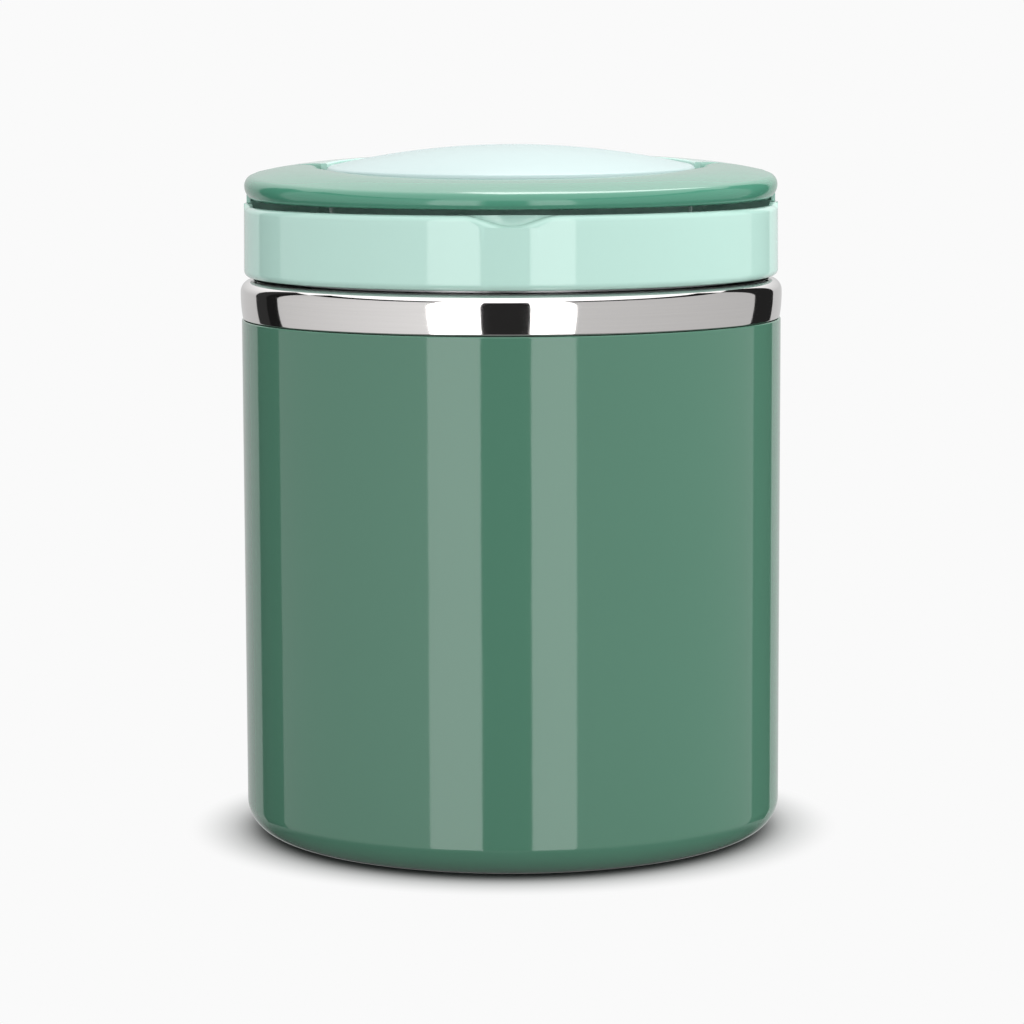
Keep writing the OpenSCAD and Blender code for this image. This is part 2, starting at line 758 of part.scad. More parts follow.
module lid_screws() {
    slot_w = 0.7;
    color([0.72, 0.72, 0.74])
    at_lid_screws(island_floor_top) difference() {
        union() {
            rotate_extrude()
                eased_rect([0, 0], [lid_screw_head_r, lid_screw_head_h], [0, 0, 2 * soften, 0]);
            translate([0, 0, -lid_screw_len]) cylinder(h = lid_screw_len + eps, r = lid_screw_r);
        }
        cross_recess(1.1 * lid_screw_head_r, slot_w, lid_screw_head_h - slot_w, far);
    }
}

// side is 1 on the +X side and -1 on the -X side
module pivot_bush(side) {
    color([0.9, 0.9, 0.86])
    scale([side, 1, 1]) difference() {
        pivot_rod(bush_x0, bush_x1, bush_r);
        pivot_rod(bush_x0 - 1, bush_x1 + 1, bush_in_r);
    }
}

// ---- handle ----

// Half of the band's section in plan order: lower edges eased, open upwards
module handle_body() {
    rotate([0, 0, 180]) rotate_extrude(angle = 180)
        eased_rect([handle_in_r, pivot_z - handle_below], [handle_r, pivot_z + 9],
            [handle_under_r, handle_under_r, 0, 0]);
    both_sides() translate([end_x, 0, 0]) rotate_extrude(angle = 180)
        eased_rect([0, pivot_z - handle_below], [end_r, pivot_z + 9], [0, handle_under_r, 0, 0]);
}

module handle() {
    p = [handle_in_r, handle_above];
    q = [handle_r - handle_top_r, handle_above - handle_fall];
    crown = arc_centre(p, q, handle_crown_r);
    color([0.35, 0.62, 0.52])
    difference() {
        intersection() {
            handle_body();
            leaning() rotate_extrude()
                crowned_block(crown, handle_crown_r, handle_r + 0.2, -20, handle_top_r);
        }
        both_sides() pivot_rod(0, pin_x1 + 0.2, pin_r + press);
    }
}

module pivot_pin(side) {
    color([0.78, 0.78, 0.79])
    scale([side, 1, 1]) {
        pivot_rod(pin_head_x - eps, pin_x1, pin_r);
        pivot_rod(pin_head_x - pin_head_t, pin_head_x, pin_head_r);
    }
}

outer_jacket();
foot_ring();
screw_cover();
base_screw();
base_washer();
bottom_cushion();
centring_ring();
seam_gasket();
collar_band();
flask_shell();
food_vessel();
flask_base();
flask_stud();
evac_seal();
getter_capsule();
radiation_foil();
lid_gasket();
lid_cap();
dome_cover();
lid_liner();
lid_foam();
lid_screws();
pivot_bush(-1);  // pivot_bush_left
pivot_bush(1);  // pivot_bush_right
handle();
pivot_pin(-1);  // pivot_pin_left
pivot_pin(1);  // pivot_pin_right
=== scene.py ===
# %% [markdown]
# # A vacuum food jar, dressed piece by piece
#
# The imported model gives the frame: rigid bodies, joints and plain solids.  This script puts the
# visible skins on it.  Nearly everything on a food jar is turned or moulded round one upright axis,
# so most skins are an outline carried round that axis.  Two pieces are not: the lid cap, whose wall
# is low at the front and turns into a deck at the back, and the folded carry handle.  Both are
# worked out as a section that changes on its way round.

# %% Load the frame and the tools
from math import asin, atan2, cos, degrees, pi, radians, sin, sqrt, tan

import bmesh
import bpy
import numpy as np
from mathutils import Matrix


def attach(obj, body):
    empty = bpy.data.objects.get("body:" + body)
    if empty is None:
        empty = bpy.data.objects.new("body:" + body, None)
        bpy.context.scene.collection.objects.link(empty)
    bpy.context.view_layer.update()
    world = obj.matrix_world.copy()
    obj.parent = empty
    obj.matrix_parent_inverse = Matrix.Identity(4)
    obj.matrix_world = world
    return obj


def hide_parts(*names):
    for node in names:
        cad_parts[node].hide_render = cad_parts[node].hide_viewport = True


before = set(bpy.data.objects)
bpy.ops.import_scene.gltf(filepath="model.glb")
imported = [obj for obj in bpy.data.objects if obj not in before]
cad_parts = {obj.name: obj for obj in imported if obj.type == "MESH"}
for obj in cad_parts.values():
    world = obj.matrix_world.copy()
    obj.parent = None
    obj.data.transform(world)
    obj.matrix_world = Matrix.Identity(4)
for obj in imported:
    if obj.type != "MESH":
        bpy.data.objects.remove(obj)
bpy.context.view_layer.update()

MM = 0.001
scene = bpy.context.scene

# %% [markdown]
# ## Sizes
#
# All sizes are in millimetres, with Z up from the table and the front towards -Y.  They are the
# frame's own sizes, so every skin sits where its solid is.

# %% Driving sizes
JACKET_R, JACKET_WALL, JACKET_TOP = 55.0, 2.0, 105.38
JACKET_FOOT = 0.4
BASE_CORNER = 6.0
COLLAR_LOW, COLLAR_HIGH = 105.52, 113.4
FLASK_R, NECK_R, STEEL = 52.0, 48.6, 0.6
MOUTH_R, RIM_Z = 46.8, 119.2
PIVOT_Z = 132.4
LID_R, LID_EDGE, LID_WALL, LID_DRAFT = 54.42, 114.0, 1.8, 0.14
HANDLE_R, HANDLE_W = 54.2, 16.1
END_R = HANDLE_W / 2
END_X = HANDLE_R - END_R
HANDLE_IN_R = HANDLE_R - HANDLE_W
DOME_R = HANDLE_IN_R - 0.6
SEAT_Z = PIVOT_Z + 2.2
DECK_LEAN, HANDLE_LEAN = radians(1.86), radians(2.36)
print("handle arc radius", END_X, "dome radius", DOME_R)

# %% [markdown]
# ## Outlines with rounded corners
#
# A moulded edge is never sharp: a small arc catches a line of light.  An outline is given by its
# corners and a radius for each.  Beside every arc lies one more point on the straight stretch, so
# that the smooth shading of the arc doesn't creep over the flat next to it.

# %% Outlines
HOLD = 0.12


def outline(corners, closed=True, steps=8):
    """Points along straight stretches joined by arcs.

    A corner of radius R whose stretches meet at the angle t gets an arc that starts
    R / tan(t / 2) before the corner, round a centre R / sin(t / 2) inside it."""
    points = np.array([c[:2] for c in corners], float)
    radii = np.array([c[2] if len(c) > 2 else 0.0 for c in corners])
    if not closed:
        radii[[0, -1]] = 0.0
    before, after = np.roll(points, 1, 0) - points, np.roll(points, -1, 0) - points
    length_a, length_b = np.hypot(*before.T), np.hypot(*after.T)
    halves = np.arccos(np.clip((before * after).sum(1) / length_a / length_b, -1, 1)) / 2
    reaches = radii / np.tan(halves)
    made = []
    for i in range(len(points)):
        if radii[i] == 0:
            made.append(points[i:i + 1])
            continue
        a, b = before[i] / length_a[i], after[i] / length_b[i]
        centre = points[i] + (a + b) / np.linalg.norm(a + b) * radii[i] / sin(halves[i])
        first, last = points[i] + a * reaches[i] - centre, points[i] + b * reaches[i] - centre
        start = atan2(first[1], first[0])
        sweep = (atan2(last[1], last[0]) - start + pi) % (2 * pi) - pi
        angle = start + sweep * np.linspace(0, 1, steps + 1)
        if length_a[i] - reaches[i] - reaches[i - 1] > 4 * HOLD:
            made.append((points[i] + a * (reaches[i] + HOLD))[None])
        made.append(centre + radii[i] * np.stack([np.cos(angle), np.sin(angle)], 1))
        if length_b[i] - reaches[i] - np.roll(reaches, -1)[i] > 4 * HOLD:
            made.append((points[i] + b * (reaches[i] + HOLD))[None])
    return np.concatenate(made)


def bend(start, end, steps):
    """Evenly spaced angles, from degrees."""
    return np.radians(np.linspace(start, end, steps + 1))


def arc(centre, radius, start, end, steps):
    """Points on a circle from one angle to another, in degrees."""
    angle = bend(start, end, steps)
    return np.array(centre) + radius * np.stack([np.cos(angle), np.sin(angle)], 1)


def smooth(t):
    """The curve 3 t^2 - 2 t^3 between 0 and 1, flat at both ends."""
    t = np.clip(t, 0.0, 1.0)
    return t * t * (3 - 2 * t)


# %% [markdown]
# ## From numbers to a mesh
#
# A surface is a grid of points.  Its quads are found from the grid's row and column numbers, and
# the whole arrays go into the mesh at once.  Points that fall together, at a pole or on a seam, are
# merged, and the faces are turned outwards.  Edges sharper than the crease angle stay crisp.

# %% Grids and meshes
AROUND = 288
MERGE = 0.002


def polar(r, angle, z):
    """Points from a radius, an angle and a height: x = r cos a, y = r sin a."""
    return np.stack(np.broadcast_arrays(r * np.cos(angle), r * np.sin(angle), z), -1)


def turned(shape, around=AROUND, centre=(0.0, 0.0)):
    """Carries an outline of (radius, height) round an upright axis."""
    angle = np.arange(around)[:, None] * 2 * pi / around
    return polar(shape[:, 0], angle, shape[:, 1]) + np.array([*centre, 0.0])


def quads(rows, columns, wrap_rows, wrap_columns, start):
    """Corner numbers of a grid's quads: each joins a point, the next in its column, and their
    neighbours in the next row."""
    i = np.arange(rows if wrap_rows else rows - 1)[:, None]
    j = np.arange(columns if wrap_columns else columns - 1)[None, :]
    below, right = (i + 1) % rows, (j + 1) % columns
    corners = [i * columns + j, below * columns + j, below * columns + right, i * columns + right]
    return start + np.stack(corners, -1).reshape(-1, 4)


def mesh_of(name, shells, crease=32.0):
    """One mesh of several closed shells, each a (points, wrap_rows, wrap_columns)."""
    points, faces, start = [], [], 0
    for grid, wrap_rows, wrap_columns in shells:
        rows, columns = grid.shape[:2]
        points.append(grid.reshape(-1, 3))
        faces.append(quads(rows, columns, wrap_rows, wrap_columns, start))
        start += rows * columns
    points, faces = np.concatenate(points) * MM, np.concatenate(faces)
    mesh = bpy.data.meshes.new(name)
    mesh.vertices.add(len(points))
    mesh.vertices.foreach_set("co", points.ravel())
    mesh.loops.add(faces.size)
    mesh.loops.foreach_set("vertex_index", faces.ravel())
    mesh.polygons.add(len(faces))
    mesh.polygons.foreach_set("loop_start", np.arange(0, faces.size, 4))
    mesh.update(calc_edges=True)
    clean(mesh, crease)
    return mesh


def clean(mesh, crease):
    """Merges points that coincide and turns the faces outwards."""
    work = bmesh.new()
    work.from_mesh(mesh)
    bmesh.ops.remove_doubles(work, verts=work.verts, dist=MERGE * MM)
    bmesh.ops.recalc_face_normals(work, faces=work.faces)
    open_edges = sum(1 for e in work.edges if len(e.link_faces) != 2)
    if open_edges:
        print("   ", mesh.name, "has", open_edges, "open edges")
    work.to_mesh(mesh)
    work.free()
    shade(mesh, crease)


def shade(mesh, crease):
    """Smooth shading, with the edges sharper than the crease angle left crisp."""
    mesh.shade_smooth()
    mesh.set_sharp_from_angle(angle=radians(crease))


def add_object(name, data):
    """Makes an object of a mesh or a lens and puts it into the scene."""
    made = bpy.data.objects.new(name, data)
    scene.collection.objects.link(made)
    return made


def place(name, mesh, finish, body, nodes=()):
    """Puts a mesh into the scene as a piece that rides on a body and stands for CAD nodes."""
    piece = add_object(name, mesh)
    mesh.materials.clear()
    mesh.materials.append(finish.material)
    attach(piece, body)
    if nodes:
        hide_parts(*nodes)
    print(f"{name}: {len(mesh.polygons)} faces on {body}")


def ring_piece(name, corners, finish, body, nodes=(), closed=True, steps=8, extra=()):
    """A turned piece from its outline, with more closed shells if it has them."""
    shape = outline(corners, closed, steps)
    shells = [(turned(shape), True, closed)] + list(extra)
    place(name, mesh_of(name, shells), finish, body, nodes)


# %% [markdown]
# ## Arithmetic on surfaces
#
# A finish is a small calculation on every point of a surface.  To read like one, a socket is
# wrapped in a class with Python's operators, and each operator adds its Math node.  Everything else
# goes through one method that takes a node's type, its settings and its inputs.  The studio's
# cards, table and sky are made with it too.

# %% Sockets with operators
def operator(operation, reflected=False):
    """A Python operator that adds a Math node; the reflected form swaps its two sides."""
    def act(self, other):
        a, b = (other, self) if reflected else (self, other)
        return self.nodes.node("ShaderNodeMath", {"operation": operation}, {0: a, 1: b})
    return act


class Amount:
    """A number, colour or vector that varies over a surface."""

    def __init__(self, nodes, socket):
        self.nodes = nodes
        self.socket = socket

    __add__, __radd__ = operator("ADD"), operator("ADD", True)
    __sub__, __rsub__ = operator("SUBTRACT"), operator("SUBTRACT", True)
    __mul__, __rmul__ = operator("MULTIPLY"), operator("MULTIPLY", True)
    __truediv__, __rtruediv__ = operator("DIVIDE"), operator("DIVIDE", True)
    at_least, at_most = operator("MAXIMUM"), operator("MINIMUM")

    def clamped(self):
        """Kept between 0 and 1."""
        return self.at_least(0.0).at_most(1.0)


# %% Nodes of a material or a world
class Nodes:
    """Adds nodes to the tree of a material or a world."""

    def __init__(self, owner):
        owner.use_nodes = True
        self.tree = owner.node_tree

    def node(self, kind, settings, inputs, output=0):
        """Adds a node, sets what it is first, then gives its inputs numbers or links."""
        node = self.tree.nodes.new(kind)
        for key, value in settings.items():
            setattr(node, key, value)
        for key, value in inputs.items():
            if isinstance(value, Amount):
                self.tree.links.new(value.socket, node.inputs[key])
            else:
                node.inputs[key].default_value = value
        return Amount(self, node.outputs[output])

    def show(self, shader):
        """Puts a shader in the place of the one that the tree began with."""
        surface = next(n for n in self.tree.nodes if n.type.startswith("OUTPUT")).inputs["Surface"]
        self.tree.nodes.remove(surface.links[0].from_node)
        self.tree.links.new(shader.socket, surface)


class Finish(Nodes):
    """A material: its surface shader, and the nodes that feed it."""

    def __init__(self, slot, name, **constants):
        self.slot = slot
        self.material = bpy.data.materials.new(name)
        super().__init__(self.material)
        self.shader = next(n for n in self.tree.nodes if n.type == "BSDF_PRINCIPLED")
        for socket, value in constants.items():
            self.shader.inputs[socket.replace("_", " ")].default_value = value
        self.spot = self.node("ShaderNodeTexCoord", {}, {}, "Object")

    def stretched(self, scale):
        """The place on the piece, with each direction scaled by its own factor."""
        return self.node("ShaderNodeMapping", {}, {"Vector": self.spot, "Scale": scale})

    def noise(self, scale, detail=3.0, roughness=0.5, stretch=(1.0, 1.0, 1.0)):
        """Cloudy noise between 0 and 1; scale is in blotches per metre."""
        return self.node("ShaderNodeTexNoise", {}, {"Vector": self.stretched(stretch), "Scale": scale,
                                                    "Detail": detail, "Roughness": roughness})

    def blend(self, share, a, b):
        """A colour between a and b."""
        return self.node("ShaderNodeMix", {"data_type": "RGBA"}, {0: share, 6: a, 7: b}, 2)

    def mottled(self, share, colour, low, high):
        """Feeds the base colour: the colour times low where the share is 0, times high where it is 1."""
        self.feed(Base_Color=self.blend(share, tone(colour, low), tone(colour, high)))

    def feed(self, **sockets):
        """Links values to the surface shader's sockets, named with _ for a space."""
        for socket, value in sockets.items():
            self.tree.links.new(value.socket, self.shader.inputs[socket.replace("_", " ")])

    def bump(self, height, distance):
        """Turns a height into a tilt of the surface; distance is in metres for height 1."""
        self.feed(Normal=self.node("ShaderNodeBump", {}, {"Height": height, "Distance": distance}))


def tone(colour, factor):
    """A colour made lighter or darker by a factor, as the shader wants it."""
    return (*[min(1.0, c * factor) for c in colour], 1.0)


# %% [markdown]
# ## Gloss moulded plastic
#
# Jacket, lid, dome and handle are injection moulded and polished.  Such a surface is a clear colour
# under a hard gloss: edges of reflections stay sharp, but they waver a little, because the skin
# follows the mould's polish and the resin's shrinkage.  The colour itself is nearly even, with
# faint clouds from the pigment, and the gloss is broken by the finest of handling haze.

# %% Plastics
def gloss_plastic(slot, name, colour, roughness=0.09, wave=1.0, cloud=0.02, **constants):
    """Pigment clouds in the colour, haze in the roughness and a shallow wave in the surface."""
    finish = Finish(slot, name, IOR=1.5, **constants)
    clouds = finish.noise(26.0, 4.0, 0.55)
    specks = finish.noise(900.0, 2.0)
    finish.mottled((clouds * 0.8 + specks * 0.2).clamped(), colour, 1 - cloud, 1 + cloud)
    haze = finish.noise(120.0, 5.0, 0.65)
    finish.feed(Roughness=haze * 0.05 + (roughness - 0.025))
    ripple = finish.noise(70.0, 1.0) * 0.75 + finish.noise(420.0, 1.0) * 0.05
    finish.bump(ripple, 0.00012 * wave)
    return finish


JACKET_GREEN = (0.077, 0.200, 0.137)
HANDLE_GREEN = (0.070, 0.255, 0.172)
LID_MINT = (0.475, 0.710, 0.635)
DOME_PALE = (0.42, 0.54, 0.535)
jacket_green = gloss_plastic("jacket_green", "jacket gloss green", JACKET_GREEN, 0.06, 0.2)
handle_green = gloss_plastic("handle_green", "handle gloss green", HANDLE_GREEN, 0.12, 0.3)
lid_mint = gloss_plastic("lid_mint", "lid gloss mint", LID_MINT, 0.06, 0.2)
dome_pale = gloss_plastic("dome_pale", "dome pale satin", DOME_PALE, 0.25, 0.3, Specular_IOR_Level=0.25)
print("four gloss plastics")


# %% [markdown]
# ## Steel
#
# The collar is polished like a mirror on a lathe, so what little texture it has runs round it.  The
# vessel and the flask are brushed: the same lines, but deep enough to spread a reflection sideways.
# Noise that is stretched along the rings and squeezed across them gives both.

# %% Metals
def turned_steel(slot, name, colour, roughness, line_depth, spread):
    """Fine rings round the axis: the noise is 110 times finer in height than round about."""
    finish = Finish(slot, name, Metallic=1.0)
    lines = finish.noise(30.0, 6.0, 0.7, (1.0, 1.0, 110.0))
    cloud = finish.noise(35.0, 3.0)
    finish.mottled(lines, colour, 0.95, 1.05)
    finish.feed(Roughness=cloud * spread + lines * spread + (roughness - spread))
    finish.bump(lines, line_depth)
    return finish


def drawn_metal(slot, name, colour, roughness):
    """Small turned or rolled metal pieces: even colour with faint clouds and scratches."""
    finish = Finish(slot, name, Metallic=1.0)
    cloud = finish.noise(300.0, 4.0, 0.6)
    scratch = finish.noise(900.0, 2.0, 0.5, (1.0, 6.0, 1.0))
    finish.mottled(cloud, colour, 0.9, 1.08)
    finish.feed(Roughness=scratch * 0.12 + (roughness - 0.06))
    finish.bump(scratch, 0.00001)
    return finish


# Painted shade: the near-black colour of the collar's flange under the lid, where the gap is in shade.
PAINTED_GAP_SHADE = (0.012, 0.014, 0.013, 1.0)


def polished_collar(slot, name, colour, roughness, painted_shade_within):
    """Mirror steel, with painted shade: near the axis, inside the given reach, the flange under the lid
    is painted near-black, matt and not metallic, for the shade in the gap under the lid.  The share
    of steel rises from 0 to 1 over 0.4 mm of the distance from the axis."""
    finish = turned_steel(slot, name, colour, roughness, 0.0000012, 0.02)
    steel = Amount(finish, finish.shader.inputs["Base Color"].links[0].from_socket)
    sheen = Amount(finish, finish.shader.inputs["Roughness"].links[0].from_socket)
    flat = finish.stretched((1.0, 1.0, 0.0))
    reach = finish.node("ShaderNodeVectorMath", {"operation": "LENGTH"}, {0: flat}, "Value")
    # Steel outside, painted shade inside, blended over 0.4 mm.
    beyond_painted_shade = ((reach - painted_shade_within * MM) / (0.4 * MM)).clamped()
    finish.feed(Base_Color=finish.blend(beyond_painted_shade, PAINTED_GAP_SHADE, steel),
                Roughness=sheen * beyond_painted_shade + (1 - beyond_painted_shade) * 0.9, Metallic=beyond_painted_shade)
    return finish


# Within 52.2 mm of the axis the collar is painted near-black: painted shade in the gap under the lid.
collar_steel = polished_collar("collar_steel", "polished collar steel", (0.745, 0.725, 0.715), 0.05,
                               painted_shade_within=52.2)
flask_steel = turned_steel("flask_steel", "brushed flask steel", (0.60, 0.60, 0.61), 0.30, 0.000012, 0.08)
vessel_steel = turned_steel("vessel_steel", "satin vessel steel", (0.68, 0.68, 0.69), 0.22, 0.000006, 0.06)
fastener_steel = drawn_metal("fastener_steel", "fastener steel", (0.56, 0.56, 0.58), 0.30)
copper_foil = drawn_metal("copper_foil", "rolled copper foil", (0.80, 0.42, 0.28), 0.22)
print("five metals")


# %% [markdown]
# ## Silicone, rubber, foam and nylon
#
# The unseen and soft pieces: a matt skin with the grain that each one has.  Silicone is smooth with
# a dusty bloom, rubber is darker and rougher, foam shows its cells, and nylon is slightly waxy.

# %% Soft and matt materials
def matt(slot, name, colour, roughness, grain_scale, grain_depth, cloud=0.06):
    """Grain in the surface, bloom in the colour and roughness."""
    finish = Finish(slot, name)
    bloom = finish.noise(60.0, 5.0, 0.6)
    grain = finish.noise(grain_scale, 3.0, 0.6)
    finish.mottled(bloom, colour, 1 - cloud, 1 + cloud)
    finish.feed(Roughness=bloom * 0.14 + (roughness - 0.07))
    finish.bump(grain, grain_depth)
    return finish


def cellular_foam(slot, name, colour):
    """Closed cells: the distance to the nearest cell's middle darkens the walls between cells."""
    finish = Finish(slot, name)
    cells = finish.node("ShaderNodeTexVoronoi", {}, {"Vector": finish.spot, "Scale": 1400.0}, "Distance")
    wall = (cells * 1.4).clamped()
    finish.mottled(wall, colour, 1.04, 0.82)
    finish.feed(Roughness=wall * 0.1 + 0.8)
    finish.bump(1 - wall, 0.0002)
    return finish


silicone_grey = matt("silicone_grey", "grey silicone", (0.18, 0.21, 0.20), 0.60, 2500.0, 0.00002)
silicone_clear = matt("silicone_clear", "milky silicone", (0.80, 0.86, 0.85), 0.38, 1800.0, 0.00001, 0.03)
rubber_dark = matt("rubber_dark", "dark rubber", (0.035, 0.036, 0.036), 0.72, 2200.0, 0.00003, 0.2)
liner_white = matt("liner_white", "white liner plastic", (0.80, 0.84, 0.83), 0.34, 1500.0, 0.000012, 0.02)
bush_nylon = matt("bush_nylon", "natural nylon", (0.78, 0.78, 0.72), 0.42, 2000.0, 0.00001, 0.03)
foam_white = cellular_foam("foam_white", "closed-cell foam", (0.86, 0.85, 0.78))
print("six soft and matt materials")

# %% [markdown]
# ## The jacket and what is under it
#
# The jacket is a cup: a straight wall, one round corner and a floor with a boss for the screw that
# pulls the flask down.  Its outline is closed, because the floor has a hole for that screw.  The
# foot ring sits in a groove of the floor and carries the jar.

# %% Jacket, foot ring and screw cover
FLOOR_TOP, BOSS_TOP, BOSS_R = 2.6, 4.6, 9.0
RECESS_TOP, RECESS_R, COVER_R, COVER_TOP = 3.2, 5.5, 6.4, 1.21
FOOT_IN, FOOT_OUT, FOOT_TOP = 37.0, 43.0, 1.6
WALL_IN, HOLE_R = JACKET_R - JACKET_WALL, 2.3
REBATE_R, REBATE_Z = WALL_IN + 1.0, JACKET_TOP - 1.2
ring_piece("jacket", [
    (JACKET_R, JACKET_FOOT, BASE_CORNER), (JACKET_R, JACKET_TOP, 0.3), (REBATE_R, JACKET_TOP, 0.1),
    (REBATE_R, REBATE_Z), (WALL_IN, REBATE_Z, 0.1), (WALL_IN, FLOOR_TOP, 4.0), (BOSS_R, FLOOR_TOP, 0.4),
    (BOSS_R, BOSS_TOP, 0.3), (HOLE_R, BOSS_TOP, 0.1), (HOLE_R, RECESS_TOP, 0.1),
    (RECESS_R, RECESS_TOP, 0.1), (RECESS_R, COVER_TOP, 0.1), (COVER_R, COVER_TOP, 0.1),
    (COVER_R, JACKET_FOOT, 0.15), (FOOT_IN, JACKET_FOOT, 0.15), (FOOT_IN, FOOT_TOP, 0.1),
    (FOOT_OUT, FOOT_TOP, 0.1), (FOOT_OUT, JACKET_FOOT, 0.15)],
    jacket_green, "jar", ["outer_jacket"], steps=16)
FOOT_MID = (FOOT_IN + FOOT_OUT) / 2
ring_piece("foot_ring_skin", [
    (FOOT_IN, 0.0, 0.3), (FOOT_MID - 0.5, 0.0, 0.15), (FOOT_MID, 0.3, 0.2), (FOOT_MID + 0.5, 0.0, 0.15),
    (FOOT_OUT, 0.0, 0.3), (FOOT_OUT, FOOT_TOP - 0.02), (FOOT_IN, FOOT_TOP - 0.02)],
    silicone_grey, "jar", ["foot_ring"], steps=5)
ring_piece("screw_cover_skin", [
    (0.0, JACKET_FOOT), (COVER_R - 0.03, JACKET_FOOT, 0.25), (COVER_R - 0.03, COVER_TOP - 0.02, 0.1),
    (0.0, COVER_TOP - 0.02)], silicone_grey, "jar", ["screw_cover"], closed=False, steps=5)

# %% [markdown]
# ## The polished collar and the seam under it
#
# The collar is a low barrel: its side bulges on a radius of 29 mm and ends in a round shoulder.
# That shoulder is what draws the thin dark line along its top.  The seam gasket fills the groove
# between jacket and collar, so the gap reads black.

# %% Collar and seam gasket
BARREL_R, SHOULDER_R = 29.0, 2.4
BARREL_Z = COLLAR_HIGH - SHOULDER_R - 0.6
BARREL_X = JACKET_R + 0.17 - BARREL_R
INNER = BARREL_R - SHOULDER_R
SHOULDER_Z = COLLAR_HIGH - SHOULDER_R
SHOULDER_X = BARREL_X + sqrt(INNER ** 2 - (SHOULDER_Z - BARREL_Z) ** 2)
barrel_low = degrees(asin((COLLAR_LOW + 0.25 - BARREL_Z) / BARREL_R))
barrel_high = degrees(asin((SHOULDER_Z - BARREL_Z) / INNER))
collar_foot_r = BARREL_X + BARREL_R * cos(radians(barrel_low))
collar_shape = np.concatenate([
    arc((collar_foot_r - 0.25, COLLAR_LOW + 0.25), 0.25, -90, barrel_low, 6)[:-1],
    arc((BARREL_X, BARREL_Z), BARREL_R, barrel_low, barrel_high, 32),
    arc((SHOULDER_X, SHOULDER_Z), SHOULDER_R, barrel_high, 90, 24)[1:],
    outline([(50.0, COLLAR_HIGH), (NECK_R + 0.3, COLLAR_HIGH, 0.25), (NECK_R + 0.3, COLLAR_HIGH - 0.9, 0.1),
             (FLASK_R + 0.3, COLLAR_HIGH - 0.9, 0.4), (FLASK_R + 0.3, COLLAR_LOW, 0.2), (54.0, COLLAR_LOW)],
            closed=False, steps=5)])
place("collar", mesh_of("collar", [(turned(collar_shape, 384), True, True)]), collar_steel, "jar",
      ["collar_band"])
ring_piece("seam_gasket_skin", [
    (FLASK_R + 0.5, REBATE_Z + 0.01, 0.1), (REBATE_R - 0.03, REBATE_Z + 0.01, 0.1),
    (REBATE_R - 0.03, COLLAR_LOW - 0.01, 0.15), (FLASK_R + 0.5, COLLAR_LOW - 0.01, 0.15)],
    rubber_dark, "jar", ["seam_gasket"], steps=4)

# %% [markdown]
# ## The flask and its screw thread
#
# The flask's steel neck stands inside the lid.  Its thread is rolled: four low ridges that climb
# 16 mm in a whole turn, so that a quarter of a turn already frees the lid's grip.  A ridge is a
# soft hump carried along a helix.  It swells from nothing at its start and fades at its end.

# %% Thread ridges
LEAD, STARTS, RIDGE_H = 16.0, 4, 0.9
ROOT_W, CREST_W, BURY = 1.5, 0.8, 0.2
FADE = 1 / 12


def ridge(root_r, height, z_low, start, sweep, along=64, across=17):
    """A hump on a helix.  At each step the section runs over the hump, where the height is
    height * (1 - smooth((|w| - crest) / (root - crest))), and back behind the wall."""
    t = np.linspace(0, 1, along)[:, None]
    swell = smooth(np.minimum(t, 1 - t) / FADE)
    angle = np.radians(start + sweep * t)
    w = np.linspace(-1, 1, across) * ROOT_W / 2
    hump = 1 - smooth((np.abs(w) - CREST_W / 2) / (ROOT_W / 2 - CREST_W / 2))
    bury = -BURY if height > 0 else BURY
    r = root_r + bury + swell * (hump * height - bury)
    r = np.concatenate([r, root_r + bury + 0 * r[:, ::-1]], 1)
    z = z_low + LEAD * sweep * t / 360 + swell * np.concatenate([w, w[::-1]])
    return polar(r, angle, z), False, True


def thread(root_r, height, z_low, z_high, turn):
    """All starts of a thread, evenly spread round the axis."""
    sweep = (z_high - z_low) / LEAD * 360
    return [ridge(root_r, height, z_low, turn + i * 360 / STARTS, sweep) for i in range(STARTS)]


# %% Flask, vessel and mouth
SHELL_TOP = COLLAR_HIGH - 1.0
RIDGE_LOW = COLLAR_HIGH + 0.45 + ROOT_W / 2
RIDGE_HIGH = RIM_Z - STEEL - 0.1 - ROOT_W / 2
flask_in, neck_in = FLASK_R - STEEL, NECK_R - STEEL
ring_piece("flask_skin", [
    (flask_in, 7.0), (FLASK_R, 7.0, 0.2), (FLASK_R, SHELL_TOP, 1.0), (NECK_R, SHELL_TOP, 0.6),
    (NECK_R, RIM_Z - STEEL), (neck_in, RIM_Z - STEEL), (neck_in, SHELL_TOP - STEEL, 0.3),
    (flask_in, SHELL_TOP - STEEL, 0.5)],
    flask_steel, "jar", ["flask_shell"], extra=thread(NECK_R, RIDGE_H, RIDGE_LOW, RIDGE_HIGH, 0.0))
VESSEL_FLOOR, VESSEL_CORNER = 12.5, 8.0
ring_piece("vessel_skin", [
    (0.0, VESSEL_FLOOR), (MOUTH_R, VESSEL_FLOOR, VESSEL_CORNER), (MOUTH_R, RIM_Z, 0.3),
    (NECK_R, RIM_Z, 0.28), (NECK_R, RIM_Z - STEEL + 0.01, 0.25), (MOUTH_R + STEEL, RIM_Z - STEEL + 0.01, 0.1),
    (MOUTH_R + STEEL, VESSEL_FLOOR - STEEL, VESSEL_CORNER + STEEL), (0.0, VESSEL_FLOOR - STEEL)],
    vessel_steel, "jar", ["food_vessel"], closed=False, steps=12)

# %% [markdown]
# ## Sealing ring and liner
#
# The ring lies on the rim and hangs a short lip into the mouth.  The liner is one white moulding:
# plug, plate and threaded skirt, with four bosses for the screws that clamp it to the lid cap.

